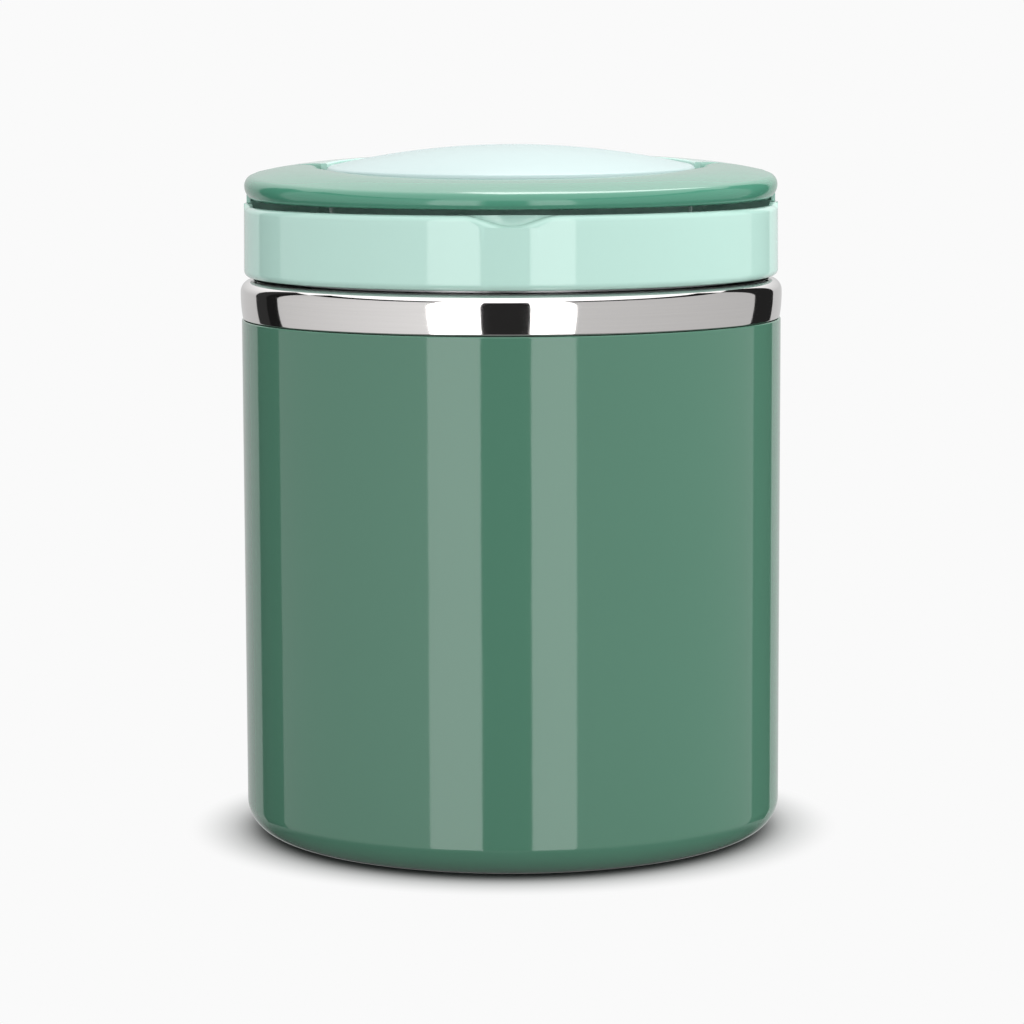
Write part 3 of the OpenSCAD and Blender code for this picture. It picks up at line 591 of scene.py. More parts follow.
# %% Sealing ring
PLUG_R, PLUG_WALL, PLUG_LOW = 45.0, 1.6, 111.8
SEAL_LOW = RIM_Z + 0.05
ring_piece("sealing_ring", [
    (PLUG_R + 0.1, SEAL_LOW - 1.6, 0.2), (PLUG_R + 1.4, SEAL_LOW - 1.6, 0.5), (PLUG_R + 1.4, SEAL_LOW, 0.3),
    (NECK_R + 0.3, SEAL_LOW, 0.3), (NECK_R + 0.3, SEAL_LOW + 1.2, 0.3), (PLUG_R + 0.1, SEAL_LOW + 1.2, 0.2)],
    silicone_clear, "lid_seal", ["lid_gasket"], steps=6)

# %% Liner with plug, thread and bosses
LINER_IN, SKIRT_T, PLATE_LOW, PLATE_TOP = 49.8, 2.4, 120.5, 122.0
SCREW_PCD, BOSS_TUBE_R, SCREW_R, ISLAND_LOW = 24.0, 3.55, 1.45, 127.2
MATE_DROP = ROOT_W - (ROOT_W - CREST_W) / 2 + 0.12
LINER_RIDGE_LOW = LID_EDGE + 0.4 + ROOT_W / 2
LINER_RIDGE_HIGH = RIDGE_HIGH - MATE_DROP - 0.2
liner_turn = (LINER_RIDGE_LOW + MATE_DROP - RIDGE_LOW) / LEAD * 360


def screw_places():
    """The four places of the lid's screws, on the diagonals."""
    return [(SCREW_PCD * cos(a), SCREW_PCD * sin(a)) for a in np.radians([45, 135, 225, 315])]


BORE_R, BORE_DEPTH = SCREW_R + 0.02, 9.5
boss_tube = outline([
    (0.0, ISLAND_LOW - BORE_DEPTH), (BORE_R, ISLAND_LOW - BORE_DEPTH), (BORE_R, ISLAND_LOW, 0.1),
    (BOSS_TUBE_R, ISLAND_LOW, 0.2), (BOSS_TUBE_R, PLUG_LOW + 1.2), (0.0, PLUG_LOW + 1.2)],
    closed=False, steps=4)
bosses = [(turned(boss_tube, 40, spot), True, False) for spot in screw_places()]
ring_piece("liner_skin", [
    (0.0, PLUG_LOW), (PLUG_R, PLUG_LOW, 2.0), (PLUG_R, PLATE_LOW, 0.3), (LINER_IN, PLATE_LOW, 0.4),
    (LINER_IN, LID_EDGE + 0.3, 0.4), (LINER_IN + SKIRT_T, LID_EDGE + 0.3, 0.5),
    (LINER_IN + SKIRT_T, PLATE_TOP, 0.3), (PLUG_R - PLUG_WALL, PLATE_TOP, 0.2),
    (PLUG_R - PLUG_WALL, PLUG_LOW + PLUG_WALL, 1.0), (0.0, PLUG_LOW + PLUG_WALL)],
    liner_white, "lid", ["lid_liner"], closed=False,
    extra=thread(LINER_IN, -RIDGE_H, LINER_RIDGE_LOW, LINER_RIDGE_HIGH, liner_turn) + bosses)

# %% [markdown]
# ## The crown of lid and handle
#
# Handle and rear deck have gently crowned tops that lean about 2 degrees towards the front.  A
# crown is a circle of radius 70 mm that passes over an inner and an outer point, turned round the
# leaning axis.  Its height over a place (x, y) is found by stepping: guess the height, find the
# place in the leaning frame, read the circle, and turn back.

# %% Leaning crowns
CROWN_R = 70.0
EDGE_R, EDGE_RISE = 2.2, 2.4
HANDLE_RISE, DECK_RISE = 4.45, 4.1
DECK_IN = DOME_R + 0.4


def crown(inner_r, rise):
    """Centre of the circle over two points (radius, height above the pivots): one at the inner
    edge, the other where the outer edge begins to round."""
    p, q = np.array([inner_r, rise]), np.array([HANDLE_R - EDGE_R, EDGE_RISE])
    half, along = np.linalg.norm(q - p) / 2, (q - p) / np.linalg.norm(q - p)
    return (p + q) / 2 + np.array([along[1], -along[0]]) * sqrt(CROWN_R ** 2 - half ** 2)


def crown_height(centre, lean, x, y):
    """Height of the leaning crown over (x, y).  In the leaning frame the height is
    centre_z + sqrt(R^2 - (distance from the axis - centre_r)^2)."""
    up = np.full(np.broadcast(x, y).shape, 3.0)
    for _ in range(5):
        back = (y + up * sin(lean)) / cos(lean)
        reach = np.sqrt(x * x + back * back)
        up = centre[1] + np.sqrt(CROWN_R ** 2 - (reach - centre[0]) ** 2)
    return PIVOT_Z + back * sin(lean) + up * cos(lean)


HANDLE_CROWN = crown(HANDLE_IN_R, HANDLE_RISE)
DECK_CROWN = crown(DECK_IN, DECK_RISE)
print("handle crown centre", HANDLE_CROWN.round(2), "deck crown centre", DECK_CROWN.round(2))

# %% [markdown]
# ## Sections that change on their way
#
# Handle and lid are worked out for all sections at once.  One point of the section is a pair of
# arrays, such as its inset and its height, with a value for every section.  A list of such pairs,
# from the first point to the last, is then laid out as a grid.

# %% Round edge of a crowned top
def edge_arc(height_at, radius, steps):
    """The arc that rounds the outer edge of a crowned top.

    height_at(inset) gives the top's height at a distance inside the outline.  The arc's centre lies
    radius inside the outline; it touches the top where the top's slope s puts the touching point at
    inset radius * (1 - sin s).  Returns the points (inset, height) and the centre's height."""
    slope = np.zeros_like(radius)
    for _ in range(4):
        touch = radius * (1 - np.sin(slope))
        slope = np.arctan((height_at(touch + 0.01) - height_at(touch - 0.01)) / 0.02)
    centre = height_at(touch) - radius * np.cos(slope)
    turns = [share * (pi / 2 - slope) for share in np.linspace(0, 1, steps + 1)]
    return [(radius * (1 - np.cos(t)), centre + radius * np.sin(t)) for t in turns], centre


def crest(first, last, steps, height_at):
    """The crowned top from the end of its round edge to the inset where it stops."""
    insets = [first + (last - first) * share for share in np.linspace(0, 1, steps + 1)[1:]]
    return [(inset, height_at(inset)) for inset in insets]


def columns(points, sections):
    """Lays the pairs out as two grids; a plain number holds for every section."""
    return [np.stack([np.broadcast_to(p[k], sections) for p in points], 1) for k in (0, 1)]


# %% [markdown]
# ## The carry handle
#
# Seen from above, the folded handle is half a ring, 16 mm wide, with round ends over the pivots.
# Such a plan is a line, the arc through its middle, fattened by 8 mm.  So every point of the
# outline is a place on that arc plus a step outwards, and shrinking the step gives ring after ring
# of points that close up on the arc itself.  The section changes on the way: a full round nose
# along the outside, a small edge along the dome, and a round underside.  The crown's last stretch
# falls off towards the dome, by the cube of the way across.

# %% Handle
HANDLE_LOW = PIVOT_Z - 3.0
INNER_FALL = 0.6
DOME_SIDE_R, BACK_EDGE_R = 0.5, 2.8
NOSE_R, FRONT_LOW_R, LEAST_LOW_R = 3.7, 2.6, 0.9


def handle_outline(bow=180, cap=40):
    """Base points on the middle arc, and unit steps from there to the outline: out along the bow,
    round the right end, back along the inside, round the left end.  The last array is the share
    of the inside edge, 0 on the bow and 1 along the dome."""
    a, c = bend(180, 360, bow), bend(0, 180, cap)[1:-1]
    ring, fan = [np.stack([np.cos(t), np.sin(t)], 1) for t in (a, c)]
    right, left = np.array([[END_X, 0.0]]), np.array([[-END_X, 0.0]])
    base = np.concatenate([ring * END_X, np.repeat(right, len(fan), 0), ring[::-1] * END_X,
                           np.repeat(left, len(fan), 0)])
    step = np.concatenate([ring, fan, -ring[::-1], fan])
    half_turn = np.degrees(c) / 180
    inner = np.concatenate([0 * a, smooth(half_turn), 0 * a + 1, smooth(1 - half_turn)])
    return base, step, inner


def handle_points():
    """Section by section: underside from the middle out, lower arc, nose, upper arc, crowned top."""
    base, step, inner = handle_outline()

    def height_at(inset):
        x, y = (base + step * (END_R - inset)[:, None]).T
        across = (HANDLE_R - np.hypot(x, y)) / (HANDLE_R - HANDLE_IN_R)
        return crown_height(HANDLE_CROWN, HANDLE_LEAN, x, y) - INNER_FALL * np.clip(across, 0, 1) ** 3

    y = base[:, 1]
    inner_r = DOME_SIDE_R + (BACK_EDGE_R - DOME_SIDE_R) * smooth((y + 20) / 18)
    top, centre = edge_arc(height_at, EDGE_R + (inner_r - EDGE_R) * inner, 10)
    most = FRONT_LOW_R + (NOSE_R - FRONT_LOW_R) * smooth((y + 30) / 22) * (1 - inner)
    low_r = np.clip(centre - HANDLE_LOW, LEAST_LOW_R, most)
    points = [(END_R + (low_r - END_R) * share, HANDLE_LOW) for share in np.linspace(0, 1, 6)[:-1]]
    points += [(low_r * (1 - np.cos(t)), HANDLE_LOW + low_r * (1 + np.sin(t))) for t in bend(-90, 0, 8)]
    points += top + crest(top[-1][0], END_R, 10, height_at)
    inset, z = columns(points, len(base))
    plan = base[:, None, :] + step[:, None, :] * (END_R - inset)[..., None]
    return np.concatenate([plan, z[..., None]], -1)


place("carry_handle", mesh_of("carry_handle", [(handle_points(), True, False)], 40.0), handle_green,
      "handle", ["handle"])

# %% [markdown]
# ## The dome
#
# A pale cover snaps over the screws in the lid's middle.  It is a shell of even thickness: a shallow
# crown, a round rim and a short side.  It leans forward a little, as the handle round it does: each
# point is raised by its y times the slope, above the flat seat.  Its snap skirt is left open where
# the pivot bosses stand.

# %% Dome with its snap skirt
DOME_EDGE, DOME_RISE, DOME_WALL, DOME_RIM = 1.45, 4.35, 1.3, 1.0
DOME_LEAN = radians(1.2)
DOME_CROWN_R = (DOME_R ** 2 + DOME_RISE ** 2) / 2 / DOME_RISE
SKIRT_R, SKIRT_IN, SKIRT_DROP, GAP_ANGLE = 35.1, 34.1, 3.0, 8.0
LEDGE_R, LEDGE_T = 35.8, 1.0


def dome_side(shrink, rim):
    """Half an outline of the dome from its crest to its foot, moved inwards by shrink.

    The rim's arc has its centre at rim inside both the side and the crown's circle."""
    radius, side = DOME_CROWN_R - shrink, DOME_R - shrink
    low = SEAT_Z + DOME_EDGE + DOME_RISE - DOME_CROWN_R
    reach = side - rim
    rise = sqrt((radius - rim) ** 2 - reach ** 2)
    tip = degrees(atan2(rise, reach))
    top = arc((0.0, low), radius, 90, tip, 48)
    top[0, 0] = 0.0
    corner = arc((reach, low + rise), rim, tip, 0, 12)[1:]
    return np.concatenate([top, corner, [[side, low + rise - 0.15], [side, SEAT_Z + 0.01]]])


def part_ring(corners, start, end, around=71):
    """Sharp corners carried part of the way round the axis, the two ends closed to a point."""
    r, z = np.array(corners).T
    points = polar(r, bend(start, end, around)[:, None], z)
    first, last = [np.broadcast_to(end.mean(0), points[:1].shape) for end in (points[0], points[-1])]
    return np.concatenate([first, points, last]), False, True


dome_shape = np.concatenate([dome_side(0.0, DOME_RIM), dome_side(DOME_WALL, 0.4)[::-1]])
skirt_corners = [
    (SKIRT_IN, SEAT_Z - SKIRT_DROP), (SKIRT_R, SEAT_Z - SKIRT_DROP), (SKIRT_R, SEAT_Z),
    (LEDGE_R, SEAT_Z + 0.01), (LEDGE_R, SEAT_Z + LEDGE_T), (SKIRT_IN, SEAT_Z + LEDGE_T)]
skirts = [part_ring(skirt_corners, GAP_ANGLE + side, 180 - GAP_ANGLE + side) for side in (0, 180)]
dome_grid = turned(dome_shape)
lift = np.clip(dome_grid[..., 2] - SEAT_Z, 0.0, 1.0)
dome_grid[..., 2] += dome_grid[..., 1] * tan(DOME_LEAN) * lift
place("dome", mesh_of("dome", [(dome_grid, True, False)] + skirts), dome_pale, "lid", ["dome_cover"])

# %% [markdown]
# ## The lid cap
#
# The cap's section has two states.  At the front it is a skirt that ends in a low lip, with a
# trough behind it for fingers.  At the back the skirt turns over into the crowned deck.  Towards
# the pivots the lip thins and rises a little.  Every section has the same number of points, so
# the sections knit into one closed grid, and the two states meet on a line just in front of the
# pivots.  The pockets for the handle's ends are then carved out of it.

# %% Lid cap: section sizes
LID_TOP_R = LID_R - LID_DRAFT
WALL_IN_LID = LID_TOP_R - LID_WALL
SKIRT_IN_LID = LID_R - LID_WALL
LIP_Z, TROUGH_Z, TROUGH_LOW, POCKET_LOW = PIVOT_Z - 4.1, PIVOT_Z - 5.9, PIVOT_Z - 7.7, PIVOT_Z - 10.0
ISLAND_R, ISLAND_IN, ISLAND_FLOOR = DOME_R - 0.5, DOME_R - 2.3, 129.0
DECK_EDGE_R, LIP_R, NOTCH_LIP_R, LIP_IN_R = 2.8, 1.15, 1.8, 0.25
SWEEP_START, SWEEP_LENGTH, SWEEP_R = -9.0, 3.5, 12.0
NOTCH_HALF, NOTCH_DEPTH, NOTCH_BITE = 9.5, 2.0, 0.9
INSIDE_EDGE, THIN_EDGE = 0.4, 0.12
POCKET_FROM, POCKET_TO, HOLLOW_FROM = -8, 12.5, 13.5
HORN_Z = PIVOT_Z - 3.6
MEET_Y = -3.0
LID_CREASE = 38.0


def lid_wall_r(z):
    """Radius of the drafted skirt at a height."""
    return LID_R - LID_DRAFT * np.clip((z - LID_EDGE) / (PIVOT_Z - LID_EDGE), 0, 1)


def notch_share(x):
    """The finger notch's bell: (1 + cos) / 2 from 1 in the middle to 0 at its sides."""
    return 0.5 + 0.5 * np.cos(pi * np.clip(np.abs(x) / NOTCH_HALF, 0, 1))


def lip_height(x, y):
    """Height of the front lip: level, dipped by the notch in the middle, and rising on a circle
    towards the ears."""
    past = np.clip(y - SWEEP_START, 0, SWEEP_LENGTH)
    return LIP_Z - NOTCH_DEPTH * notch_share(x) + SWEEP_R - np.sqrt(SWEEP_R ** 2 - past ** 2)


def under_handle(r, clear=0.18):
    """Height of the wall's top where it follows the handle's round underside, a little clear of it."""
    low, side = HANDLE_LOW - clear, HANDLE_R + clear
    past = np.clip(r - (side - NOSE_R - clear), 0, NOSE_R + clear - 0.02)
    return low + NOSE_R + clear - np.sqrt((NOSE_R + clear) ** 2 - past ** 2)


# %% Lid cap: the stations and their angles
def spaced(start, end, step):
    """Angles from start to end in degrees, evenly spaced and about a step apart."""
    return np.linspace(start, end, max(2, int(round(abs(end - start) / step)) + 1))


meet_angle = degrees(asin(MEET_Y / LID_TOP_R))
half_front = np.concatenate([spaced(-90, -76, 0.5), spaced(-76, -30, 1.0)[1:],
                             spaced(-30, meet_angle - 0.4, 0.6)[1:]])
half_rear = np.concatenate([spaced(meet_angle, 20, 0.8), spaced(20, 90, 1.25)[1:]])


def bent_angle(station, r):
    """Angle of a station at the radius r.  Near the meeting line the stations bend with it, so
    that the line y = MEET_Y is itself a station; 20 degrees away they run straight out again."""
    r = np.clip(r, ISLAND_R, LID_R)
    line = np.degrees(np.arcsin(MEET_Y / r))
    weight = 1 - smooth(np.abs(station - meet_angle) / 20)
    return np.radians(station + weight * (line - meet_angle))


def deck_height(station, r):
    """Height of the crowned deck at a radius of each station."""
    a = bent_angle(station, r)
    return crown_height(DECK_CROWN, DECK_LEAN, r * np.cos(a), r * np.sin(a))


# %% Lid cap: the underside
def underside(station, rear):
    """The shared first half of a section, from the axis out and down: floor, ceiling of the hollow
    behind the pivots, skirt inside, foot and skirt outside.  Points are (radius, height)."""
    beside_pivot = (station > POCKET_FROM) & (station < POCKET_TO)
    low = np.where(beside_pivot, POCKET_LOW, TROUGH_LOW)
    hollow = rear & (station > HOLLOW_FROM)
    spans = np.linspace(DECK_IN + 0.7, WALL_IN_LID, 7)
    points = [(0.0, ISLAND_LOW), (ISLAND_IN, ISLAND_LOW), (ISLAND_IN, low), (spans[0] - 0.01, low)]
    points += [(r, np.where(hollow, deck_height(station, r) - LID_WALL, low)) for r in spans]
    points += [(WALL_IN_LID + 0.01, low), (SKIRT_IN_LID, low)]
    foot = outline([(SKIRT_IN_LID, 120.0), (SKIRT_IN_LID, LID_EDGE, 0.3), (LID_R, LID_EDGE, 1.3),
                    (LID_R, 118.0)], closed=False, steps=6)
    return points + list(foot[:-1]) + [(lid_wall_r(z), z) for z in (118.0, 122.0, 126.0)]


# %% Lid cap: front and rear rims
def front_rim(station):
    """Round lip, its land sloping up behind the notch, trough and island wall of the front
    sections.  Where the lip rises towards the ears, its round edge thins."""
    a = bent_angle(station, LID_TOP_R)
    x, y = LID_TOP_R * np.cos(a), LID_TOP_R * np.sin(a)
    lip = np.where(y > MEET_Y - 0.5, HORN_Z - 0.1, lip_height(x, y))
    dip = notch_share(x)
    inside = WALL_IN_LID - NOTCH_BITE * dip
    rise = smooth((lip - LIP_Z) / 1.2)
    edge = LIP_R + (NOTCH_LIP_R - LIP_R) * dip - (LIP_R - THIN_EDGE) * rise
    wall = lid_wall_r(lip)
    tip = np.minimum(lip, under_handle(wall - edge))
    points = [(wall - edge + edge * np.cos(t), tip - edge + edge * np.sin(t)) for t in bend(0, 90, 8)]
    for share in np.linspace(0, 1, 9)[1:]:
        r = wall - edge + (inside + LIP_IN_R - wall + edge) * share
        points.append((r, np.minimum(lip + NOTCH_DEPTH * dip * share ** 1.7, under_handle(r))))
    top = points[-1][1] - LIP_IN_R
    points += [(inside + LIP_IN_R + LIP_IN_R * np.cos(t), top + LIP_IN_R * np.sin(t))
               for t in bend(90, 180, 4)[1:]]
    floor = np.minimum(TROUGH_Z, top - 0.05)
    foot = np.minimum(INSIDE_EDGE, (top - floor) * 0.9)
    points += [(inside - INSIDE_EDGE * (1 - np.cos(t)), floor + foot * (1 - np.sin(t)))
               for t in bend(0, 90, 3)]
    for share in np.linspace(0, 1, 8)[1:]:
        r = inside - INSIDE_EDGE + (ISLAND_R + 2 * INSIDE_EDGE - inside) * share
        level = smooth((WALL_IN_LID - r) / 3.0)
        points.append((r, TROUGH_Z + (floor - TROUGH_Z) * (1 - level)))
    corner = 0.3 * INSIDE_EDGE
    return points + [(ISLAND_R + corner, TROUGH_Z + corner), (ISLAND_R, TROUGH_Z + INSIDE_EDGE),
                     (ISLAND_R, SEAT_Z - 0.005)]


def rear_rim(station, count):
    """Skirt, round shoulder, crowned deck and its inner edge of the rear sections."""
    wall = lid_wall_r(PIVOT_Z)
    stop = wall - (DECK_IN + INSIDE_EDGE)

    def height_at(inset):
        return deck_height(station, wall - inset)

    top, _ = edge_arc(height_at, np.full(len(station), DECK_EDGE_R), 13)
    tail_turns = np.radians([30, 60, 90])
    top += crest(top[-1][0], stop, count - len(top) - len(tail_turns) - 3, height_at)
    last = top[-1][1]
    top += [(stop + INSIDE_EDGE * sin(t), last - INSIDE_EDGE * (1 - cos(t))) for t in tail_turns]
    points = [(lid_wall_r(HORN_Z), HORN_Z - 0.22)] + [(wall - inset, z) for inset, z in top]
    return points + [(DECK_IN, SEAT_Z), (ISLAND_R, SEAT_Z - 0.005)]


# %% Lid cap: knit the sections into one grid
def lid_sections(station, rear):
    """Every point of the sections, from axis to axis."""
    points = underside(station, rear)
    points += rear_rim(station, front_count) if rear else front_rim(station)
    points += [(ISLAND_R - 0.3, SEAT_Z), (ISLAND_IN + 0.2, SEAT_Z), (ISLAND_IN, SEAT_Z - 0.2),
               (ISLAND_IN, ISLAND_FLOOR), (0.0, ISLAND_FLOOR)]
    r, z = columns(points, len(station))
    return polar(r, bent_angle(station[:, None], r), z)


front_count = len(front_rim(half_front))
right_half = np.concatenate([lid_sections(half_front, False), lid_sections(half_rear, True)])
left_half = right_half[::-1][1:-1] * np.array([-1.0, 1.0, 1.0])
lid_grid = np.concatenate([right_half, left_half])
lid_mesh = mesh_of("lid_cap_skin", [(lid_grid, True, False)], LID_CREASE)
print("lid sections:", lid_grid.shape)

# %% [markdown]
# ## Pockets for the handle's ends
#
# Each round end of the handle swings down as the handle is lifted, so it needs a bowl under it and
# room behind it.  The bowl is a ball as large as the end's furthest corner reaches; above it stands
# a plain round well.  Carving them out of the closed grid leaves a clean edge round the end.  Only
# the left pocket is carved; the left half is then mirrored, so both sides are the same.

# %% Carve the pockets
SWING_R = sqrt(END_R ** 2 + 4.0 ** 2) + 0.25
WELL_R = END_R + 0.5
SKY_HIGH = 150.0


def block_shell(low, high):
    """A closed block as a turned square: four upright edges, closed to a point above and below."""
    (x0, y0, z0), (x1, y1, z1) = low, high
    ring = np.array([(x0, y0), (x1, y0), (x1, y1), (x0, y1)], float)
    middle = np.broadcast_to(ring.mean(0), ring.shape)
    layers = [(middle, z0), (ring, z0), (ring, z1), (middle, z1)]
    grid = np.stack([np.concatenate([xy, np.full((4, 1), z)], 1) for xy, z in layers], 1)
    return grid, True, False


def carve(piece, shells, name):
    """Takes closed shells away from a piece, one after another."""
    for number, shell in enumerate(shells):
        cutter = add_object(f"{name}_{number}", mesh_of(f"{name}_{number}", [shell]))
        modifier = piece.modifiers.new("carve", "BOOLEAN")
        modifier.operation = "DIFFERENCE"
        modifier.solver = "EXACT"
        modifier.object = cutter
        graph = bpy.context.evaluated_depsgraph_get()
        carved = bpy.data.meshes.new_from_object(piece.evaluated_get(graph))
        piece.modifiers.clear()
        piece.data = carved
        bpy.data.objects.remove(cutter)
    return piece.data


def mirror_left(mesh):
    """Replaces a mesh's right half by the mirror image of its left half."""
    grown = bmesh.new()
    grown.from_mesh(mesh)
    everything = grown.verts[:] + grown.edges[:] + grown.faces[:]
    bmesh.ops.symmetrize(grown, input=everything, direction="-X", dist=1e-6)
    grown.to_mesh(mesh)
    grown.free()


def well_shell(outer_reach=8.35):
    """The left bowl and well.  The bowl's outer half is squeezed to outer_reach, so that the lid's
    wall stays whole."""
    tip = degrees(asin(sqrt(SWING_R ** 2 - WELL_R ** 2) / SWING_R))
    ball = arc((0.0, PIVOT_Z), SWING_R, -90, tip, 28)
    ball[0, 0] = 0.0
    grid = turned(np.concatenate([ball, [[WELL_R, SKY_HIGH], [0.0, SKY_HIGH]]]), 96)
    outer = (grid[..., 0] < 0) & (grid[..., 2] < PIVOT_Z)
    grid[..., 0] = grid[..., 0] * np.where(outer, outer_reach / SWING_R, 1.0) - END_X
    return grid, True, False


# Each slot runs from an inner to an outer x, between two y, and up from its floor.
SLOTS = (
    (END_X + END_R / 2, 53.4, -3.7, END_R * 0.82, HORN_Z),
    (END_X + 5.0, 60.0, -3.8, 3.8, HORN_Z - 0.03),
    (ISLAND_R + 0.03, 60.0, -0.1, 3.75, PIVOT_Z),
    (ISLAND_R + 0.02, 53.42, 0.0, 4.6, PIVOT_Z + 0.02),
    (ISLAND_R + 0.01, 52.0, -3.6, 0.0, HANDLE_LOW - 0.3))
cutters = [well_shell()]
for number, (x_in, x_out, y0, y1, low) in enumerate(SLOTS):
    cutters.append(block_shell((-x_out, y0, low), (-x_in, y1, SKY_HIGH + number)))
lid_object = add_object("lid_cap_skin", lid_mesh)
lid_mesh = carve(lid_object, cutters, "pocket")
mirror_left(lid_mesh)
bpy.data.objects.remove(lid_object)
clean(lid_mesh, LID_CREASE)


# %% [markdown]
# ## Pivot bosses inside the island
#
# Under the dome a square boss on each side holds the nylon bush of the pivot.

# %% Pivot bosses and the finished lid cap
def pivot_boss(side, bore=2.22, half_width=3.6, low=3.4, high=3.0, x0=29.7, x1=35.25, around=48):
    """A block with a bore along X: the inner ring is a circle, the outer one the same directions
    pushed out to the block's faces."""
    a = np.arange(around) * 2 * pi / around + pi / around
    c, s = np.cos(a), np.sin(a)
    reach = np.minimum(half_width / np.maximum(np.abs(c), 1e-6),
                       np.where(s > 0, high, low) / np.maximum(np.abs(s), 1e-6))
    rings = [(bore * np.ones(around), x0), (bore * np.ones(around), x1), (reach, x1), (reach, x0)]
    grid = np.stack([np.stack([np.full(around, side * x), r * c, PIVOT_Z + r * s], -1) for r, x in rings], 1)
    return grid, True, True


boss_mesh = mesh_of("pivot_bosses", [pivot_boss(1), pivot_boss(-1)])
joined = bmesh.new()
for part in (lid_mesh, boss_mesh):
    joined.from_mesh(part)
joined.to_mesh(lid_mesh)
joined.free()
shade(lid_mesh, LID_CREASE)
place("lid_cap_skin", lid_mesh, lid_mint, "lid", ["lid_cap"])

# %% [markdown]
# ## Pivot pins
#
# A pin is turned from rod: a plain shank with a chamfered tip and a low round head.

# %% Pins
def pin_mesh(name, side, x_head=28.1, head_t=1.5, x_tip=47.9, shank=1.4, head=2.6):
    """A turned outline laid along X."""
    shape = outline([(0.0, 0.0), (head, 0.0, 0.4), (head, head_t, 0.3), (shank, head_t, 0.1),
                     (shank, x_tip - x_head, 0.5), (0.0, x_tip - x_head)], closed=False, steps=6)
    grid = turned(shape, 48)
    laid = np.stack([side * (x_head + grid[..., 2]), grid[..., 0], PIVOT_Z + grid[..., 1]], -1)
    return mesh_of(name, [(laid, True, False)])


for side, name in ((-1, "left"), (1, "right")):
    place(f"pin_{name}", pin_mesh(f"pin_{name}", side), fastener_steel, "handle", [f"pivot_pin_{name}"])

# %% [markdown]
# ## The pieces that keep their solid
#
# Screws, washer, cushion, foam, foil and the like are already right as solids.  They stay and get
# their finish.

# %% Finishes for the carried solids
CARRIED = {
    "base_screw": fastener_steel, "base_washer": fastener_steel, "bottom_cushion": rubber_dark,
    "centring_ring": rubber_dark, "flask_base": flask_steel, "flask_stud": fastener_steel,
    "evac_seal": fastener_steel, "getter_capsule": fastener_steel, "radiation_foil": copper_foil,
    "lid_foam": foam_white, "lid_screws": fastener_steel, "pivot_bush_left": bush_nylon,
    "pivot_bush_right": bush_nylon,
}
for node, finish in CARRIED.items():
    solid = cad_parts[node]
    solid.data.materials.clear()
    solid.data.materials.append(finish.material)
print("finished", len(CARRIED), "carried solids")

# %% [markdown]
# ## The studio
#
# Gloss shows its surroundings, so the studio is half of the look.  Two tall strip lights stand left
# and right of the camera with a dark gap between them, large dimmer panels cover the sides, and
# narrow black flags behind them draw the dark edges.  All of them are curved cards round the jar,
# hidden from the camera itself.  The floor is pale and keeps the soft shadow; in reflections it
# gives way to the cards, which reach below it, as on a see-through table.

# %% Cards round the jar
CARD_R = 1.6
LOW, HIGH, BORDER = -0.55, 1.3, 1.75


def glow(name):
    """A card's surface: plain light, as strong as the card's own attribute says."""
    material = bpy.data.materials.new(name)
    nodes = Nodes(material)
    power = nodes.node("ShaderNodeAttribute", {"attribute_name": "power"}, {}, "Fac")
    nodes.show(nodes.node("ShaderNodeEmission", {}, {"Strength": power}))
    return material


def card(name, start, end, first, last, low=LOW, high=HIGH, glossy=True, diffuse=True, reach=CARD_R):
    """A curved card round the jar: angles in degrees from the camera's side, right is positive; its
    light runs evenly from first to last across it; heights and reach are in metres."""
    across, rows = max(3, int(abs(end - start) / 3) + 2), 5
    share = np.linspace(0, 1, across)
    a = np.radians(start + (end - start) * share)[:, None]
    spots = np.broadcast_arrays(reach * np.sin(a), -reach * np.cos(a), np.linspace(low, high, rows))
    faces = quads(across, rows, False, False, 0)
    mesh = bpy.data.meshes.new(name)
    mesh.from_pydata(np.stack(spots, -1).reshape(-1, 3).tolist(), [], faces.tolist())
    power = mesh.attributes.new("power", "FLOAT", "POINT")
    power.data.foreach_set("value", np.repeat(first + (last - first) * share, rows))
    mesh.materials.append(glow(name))
    piece = add_object(name, mesh)
    piece.visible_camera, piece.visible_glossy, piece.visible_diffuse = False, glossy, diffuse


STRIP_L, GAP_L, GAP_R, STRIP_R = -34.7, -12.6, 7.9, 26.6
PANEL_L, PANEL_R, FLAG_L = -114.3, 123, -124
card("strip_left", STRIP_L, GAP_L, 3.3, 3.3, diffuse=False)
card("gap_centre", GAP_L, GAP_R, 0.025, 0.025, diffuse=False)
card("strip_right", GAP_R, STRIP_R, 3.3, 3.3, diffuse=False)
card("panel_left", PANEL_L, STRIP_L, 0.68, 0.95)
card("panel_right", STRIP_R, PANEL_R, 0.7, 0.6)
card("border_left", PANEL_L, STRIP_L, 0.01, 0.01, HIGH, BORDER, diffuse=False)
card("border_right", STRIP_R, PANEL_R, 0.01, 0.01, HIGH, BORDER, diffuse=False)
card("flag_left", FLAG_L, PANEL_L, 0.012, 0.012)
card("flag_left_edge", -135.2, FLAG_L, 0.035, 0.035)
card("flag_right", PANEL_R, 145, 0.02, 0.02)
card("front_fill", STRIP_L, STRIP_R, 1.65, 1.8, glossy=False)
card("side_fill", 42, 100, 1.35, 2.3, 0.0, glossy=False, reach=1.2)
card("back_fill", 100, 165, 2.0, 3.2, 0.0, glossy=False, reach=1.2)
card("top_box", 153, 184, 5.0, 5.0, 0.9, 1.9, reach=1.0)
print("studio: strips, panels, borders, flags, fills and the box above")

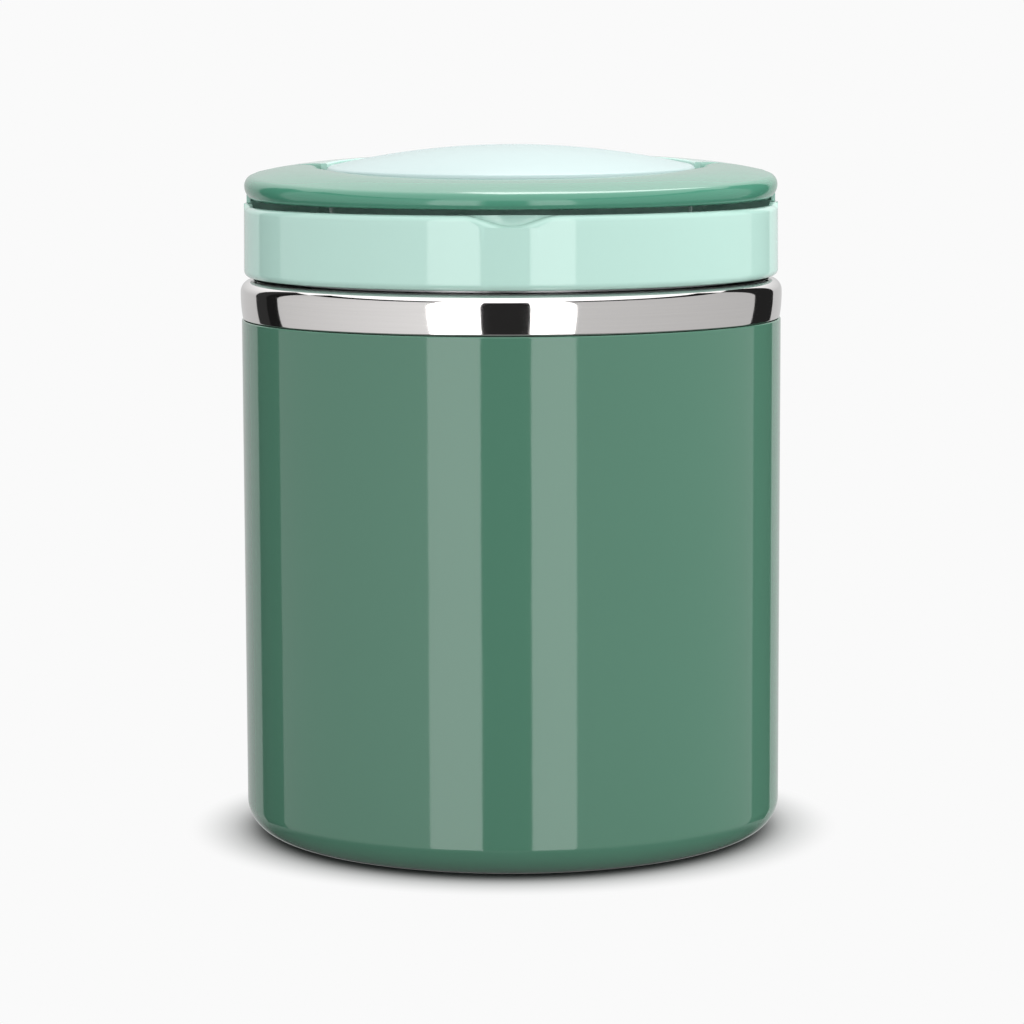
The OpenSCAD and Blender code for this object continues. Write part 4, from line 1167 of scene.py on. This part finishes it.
# %% Table
WHITE = (0.956, 0.956, 0.956, 1.0)
TABLE_SHADE = 0.38
SHADE_FROM, SHADE_TO, TABLE_END, FLOOR_HALF = 0.050, 0.058, 0.068, 6
corners = [(-1, -1), (1, -1), (1, 1), (-1, 1)]
floor_mesh = bpy.data.meshes.new("floor")
floor_mesh.from_pydata([(FLOOR_HALF * x, FLOOR_HALF * y, 0) for x, y in corners], [], [(0, 1, 2, 3)])
floor = add_object("floor", floor_mesh)
floor.visible_glossy = False


def table_finish():
    """Near the jar a pale matt table that takes the shadow, its colour halved right under the jar as
    painted contact shadow; further off it fades to plain white for the camera, so that table and
    sky meet without a line."""
    material = bpy.data.materials.new("pale table")
    nodes = Nodes(material)
    spot = nodes.node("ShaderNodeTexCoord", {}, {}, "Object")
    far = nodes.node("ShaderNodeVectorMath", {"operation": "LENGTH"}, {0: spot}, "Value")
    near = {"Value": far, "From Min": SHADE_FROM, "From Max": SHADE_TO}
    # Painted contact shadow: the table's colour is half as pale within 50 mm of the axis and full from 58 mm.
    shade = nodes.node("ShaderNodeMapRange", {}, near | {"To Min": 0.5 * TABLE_SHADE, "To Max": TABLE_SHADE})
    table = nodes.node("ShaderNodeBsdfDiffuse", {}, {"Color": shade})
    plain = nodes.node("ShaderNodeEmission", {}, {"Color": WHITE})
    share = nodes.node("ShaderNodeMapRange", {"interpolation_type": "SMOOTHSTEP"},
                       near | {"From Max": TABLE_END})
    camera_ray = nodes.node("ShaderNodeLightPath", {}, {}, "Is Camera Ray")
    nodes.show(nodes.node("ShaderNodeMixShader", {}, {0: share * camera_ray, 1: table, 2: plain}))
    return material


floor_mesh.materials.append(table_finish())

# %% Sky
SKY_PEAK = 3.3
# Strength at each height of the direction looked in, from -1 straight down to 1 straight up; the
# ramp's own two ends come first.
SKY_STOPS = ((-1.0, 0.35), (1.0, 1.6), (-0.45, 0.10), (-0.28, 0.6), (0.03, 0.66), (0.2, 0.85),
             (0.5, 1.3), (0.75, 1.6))


def sky():
    """White for the camera.  For the rest it is dim below the horizon, plain above it and brightest
    overhead, like a room with a large soft lamp under its ceiling."""
    world = bpy.data.worlds.new("studio")
    nodes = Nodes(world)
    way = nodes.node("ShaderNodeTexCoord", {}, {}, "Generated")
    up = nodes.node("ShaderNodeSeparateXYZ", {}, {0: way}, "Z")
    height = nodes.node("ShaderNodeMapRange", {}, {"Value": up, "From Min": -1.0})
    ramp = nodes.node("ShaderNodeValToRGB", {}, {0: height})
    stops = ramp.socket.node.color_ramp.elements
    for number, (z, strength) in enumerate(SKY_STOPS):
        stop = stops[number] if number < 2 else stops.new((z + 1) / 2)
        stop.position = (z + 1) / 2
        stop.color = (strength / SKY_PEAK,) * 3 + (1.0,)
    light = nodes.node("ShaderNodeBackground", {}, {"Color": ramp, "Strength": SKY_PEAK})
    seen = nodes.node("ShaderNodeBackground", {}, {"Color": WHITE})
    camera_ray = nodes.node("ShaderNodeLightPath", {}, {}, "Is Camera Ray")
    nodes.show(nodes.node("ShaderNodeMixShader", {}, {0: camera_ray, 1: light, 2: seen}))
    return world


scene.world = sky()
print("table and sky")

# %% [markdown]
# ## The camera
#
# A long lens from a little above the lid: near enough to see the dome as a thin ellipse, far enough
# for the sides to stay parallel.

# %% Camera
CAMERA_AT = (0.0, -731.5, 157.2)
CAMERA_DOWN, CAMERA_ROLL = 7.178, -0.2094
LENS_MM, SENSOR_MM = 125.75, 36.0
lens = bpy.data.cameras.new("studio camera")
lens.sensor_width = SENSOR_MM
lens.lens = LENS_MM
lens.clip_start = 0.01
camera = add_object("studio camera", lens)
camera.location = [c * MM for c in CAMERA_AT]
camera.rotation_mode = "QUATERNION"
tilt = Matrix.Rotation(radians(90 - CAMERA_DOWN), 4, "X") @ Matrix.Rotation(radians(CAMERA_ROLL), 4, "Z")
camera.rotation_quaternion = tilt.to_quaternion()
scene.camera = camera
scene.view_settings.view_transform = "Standard"
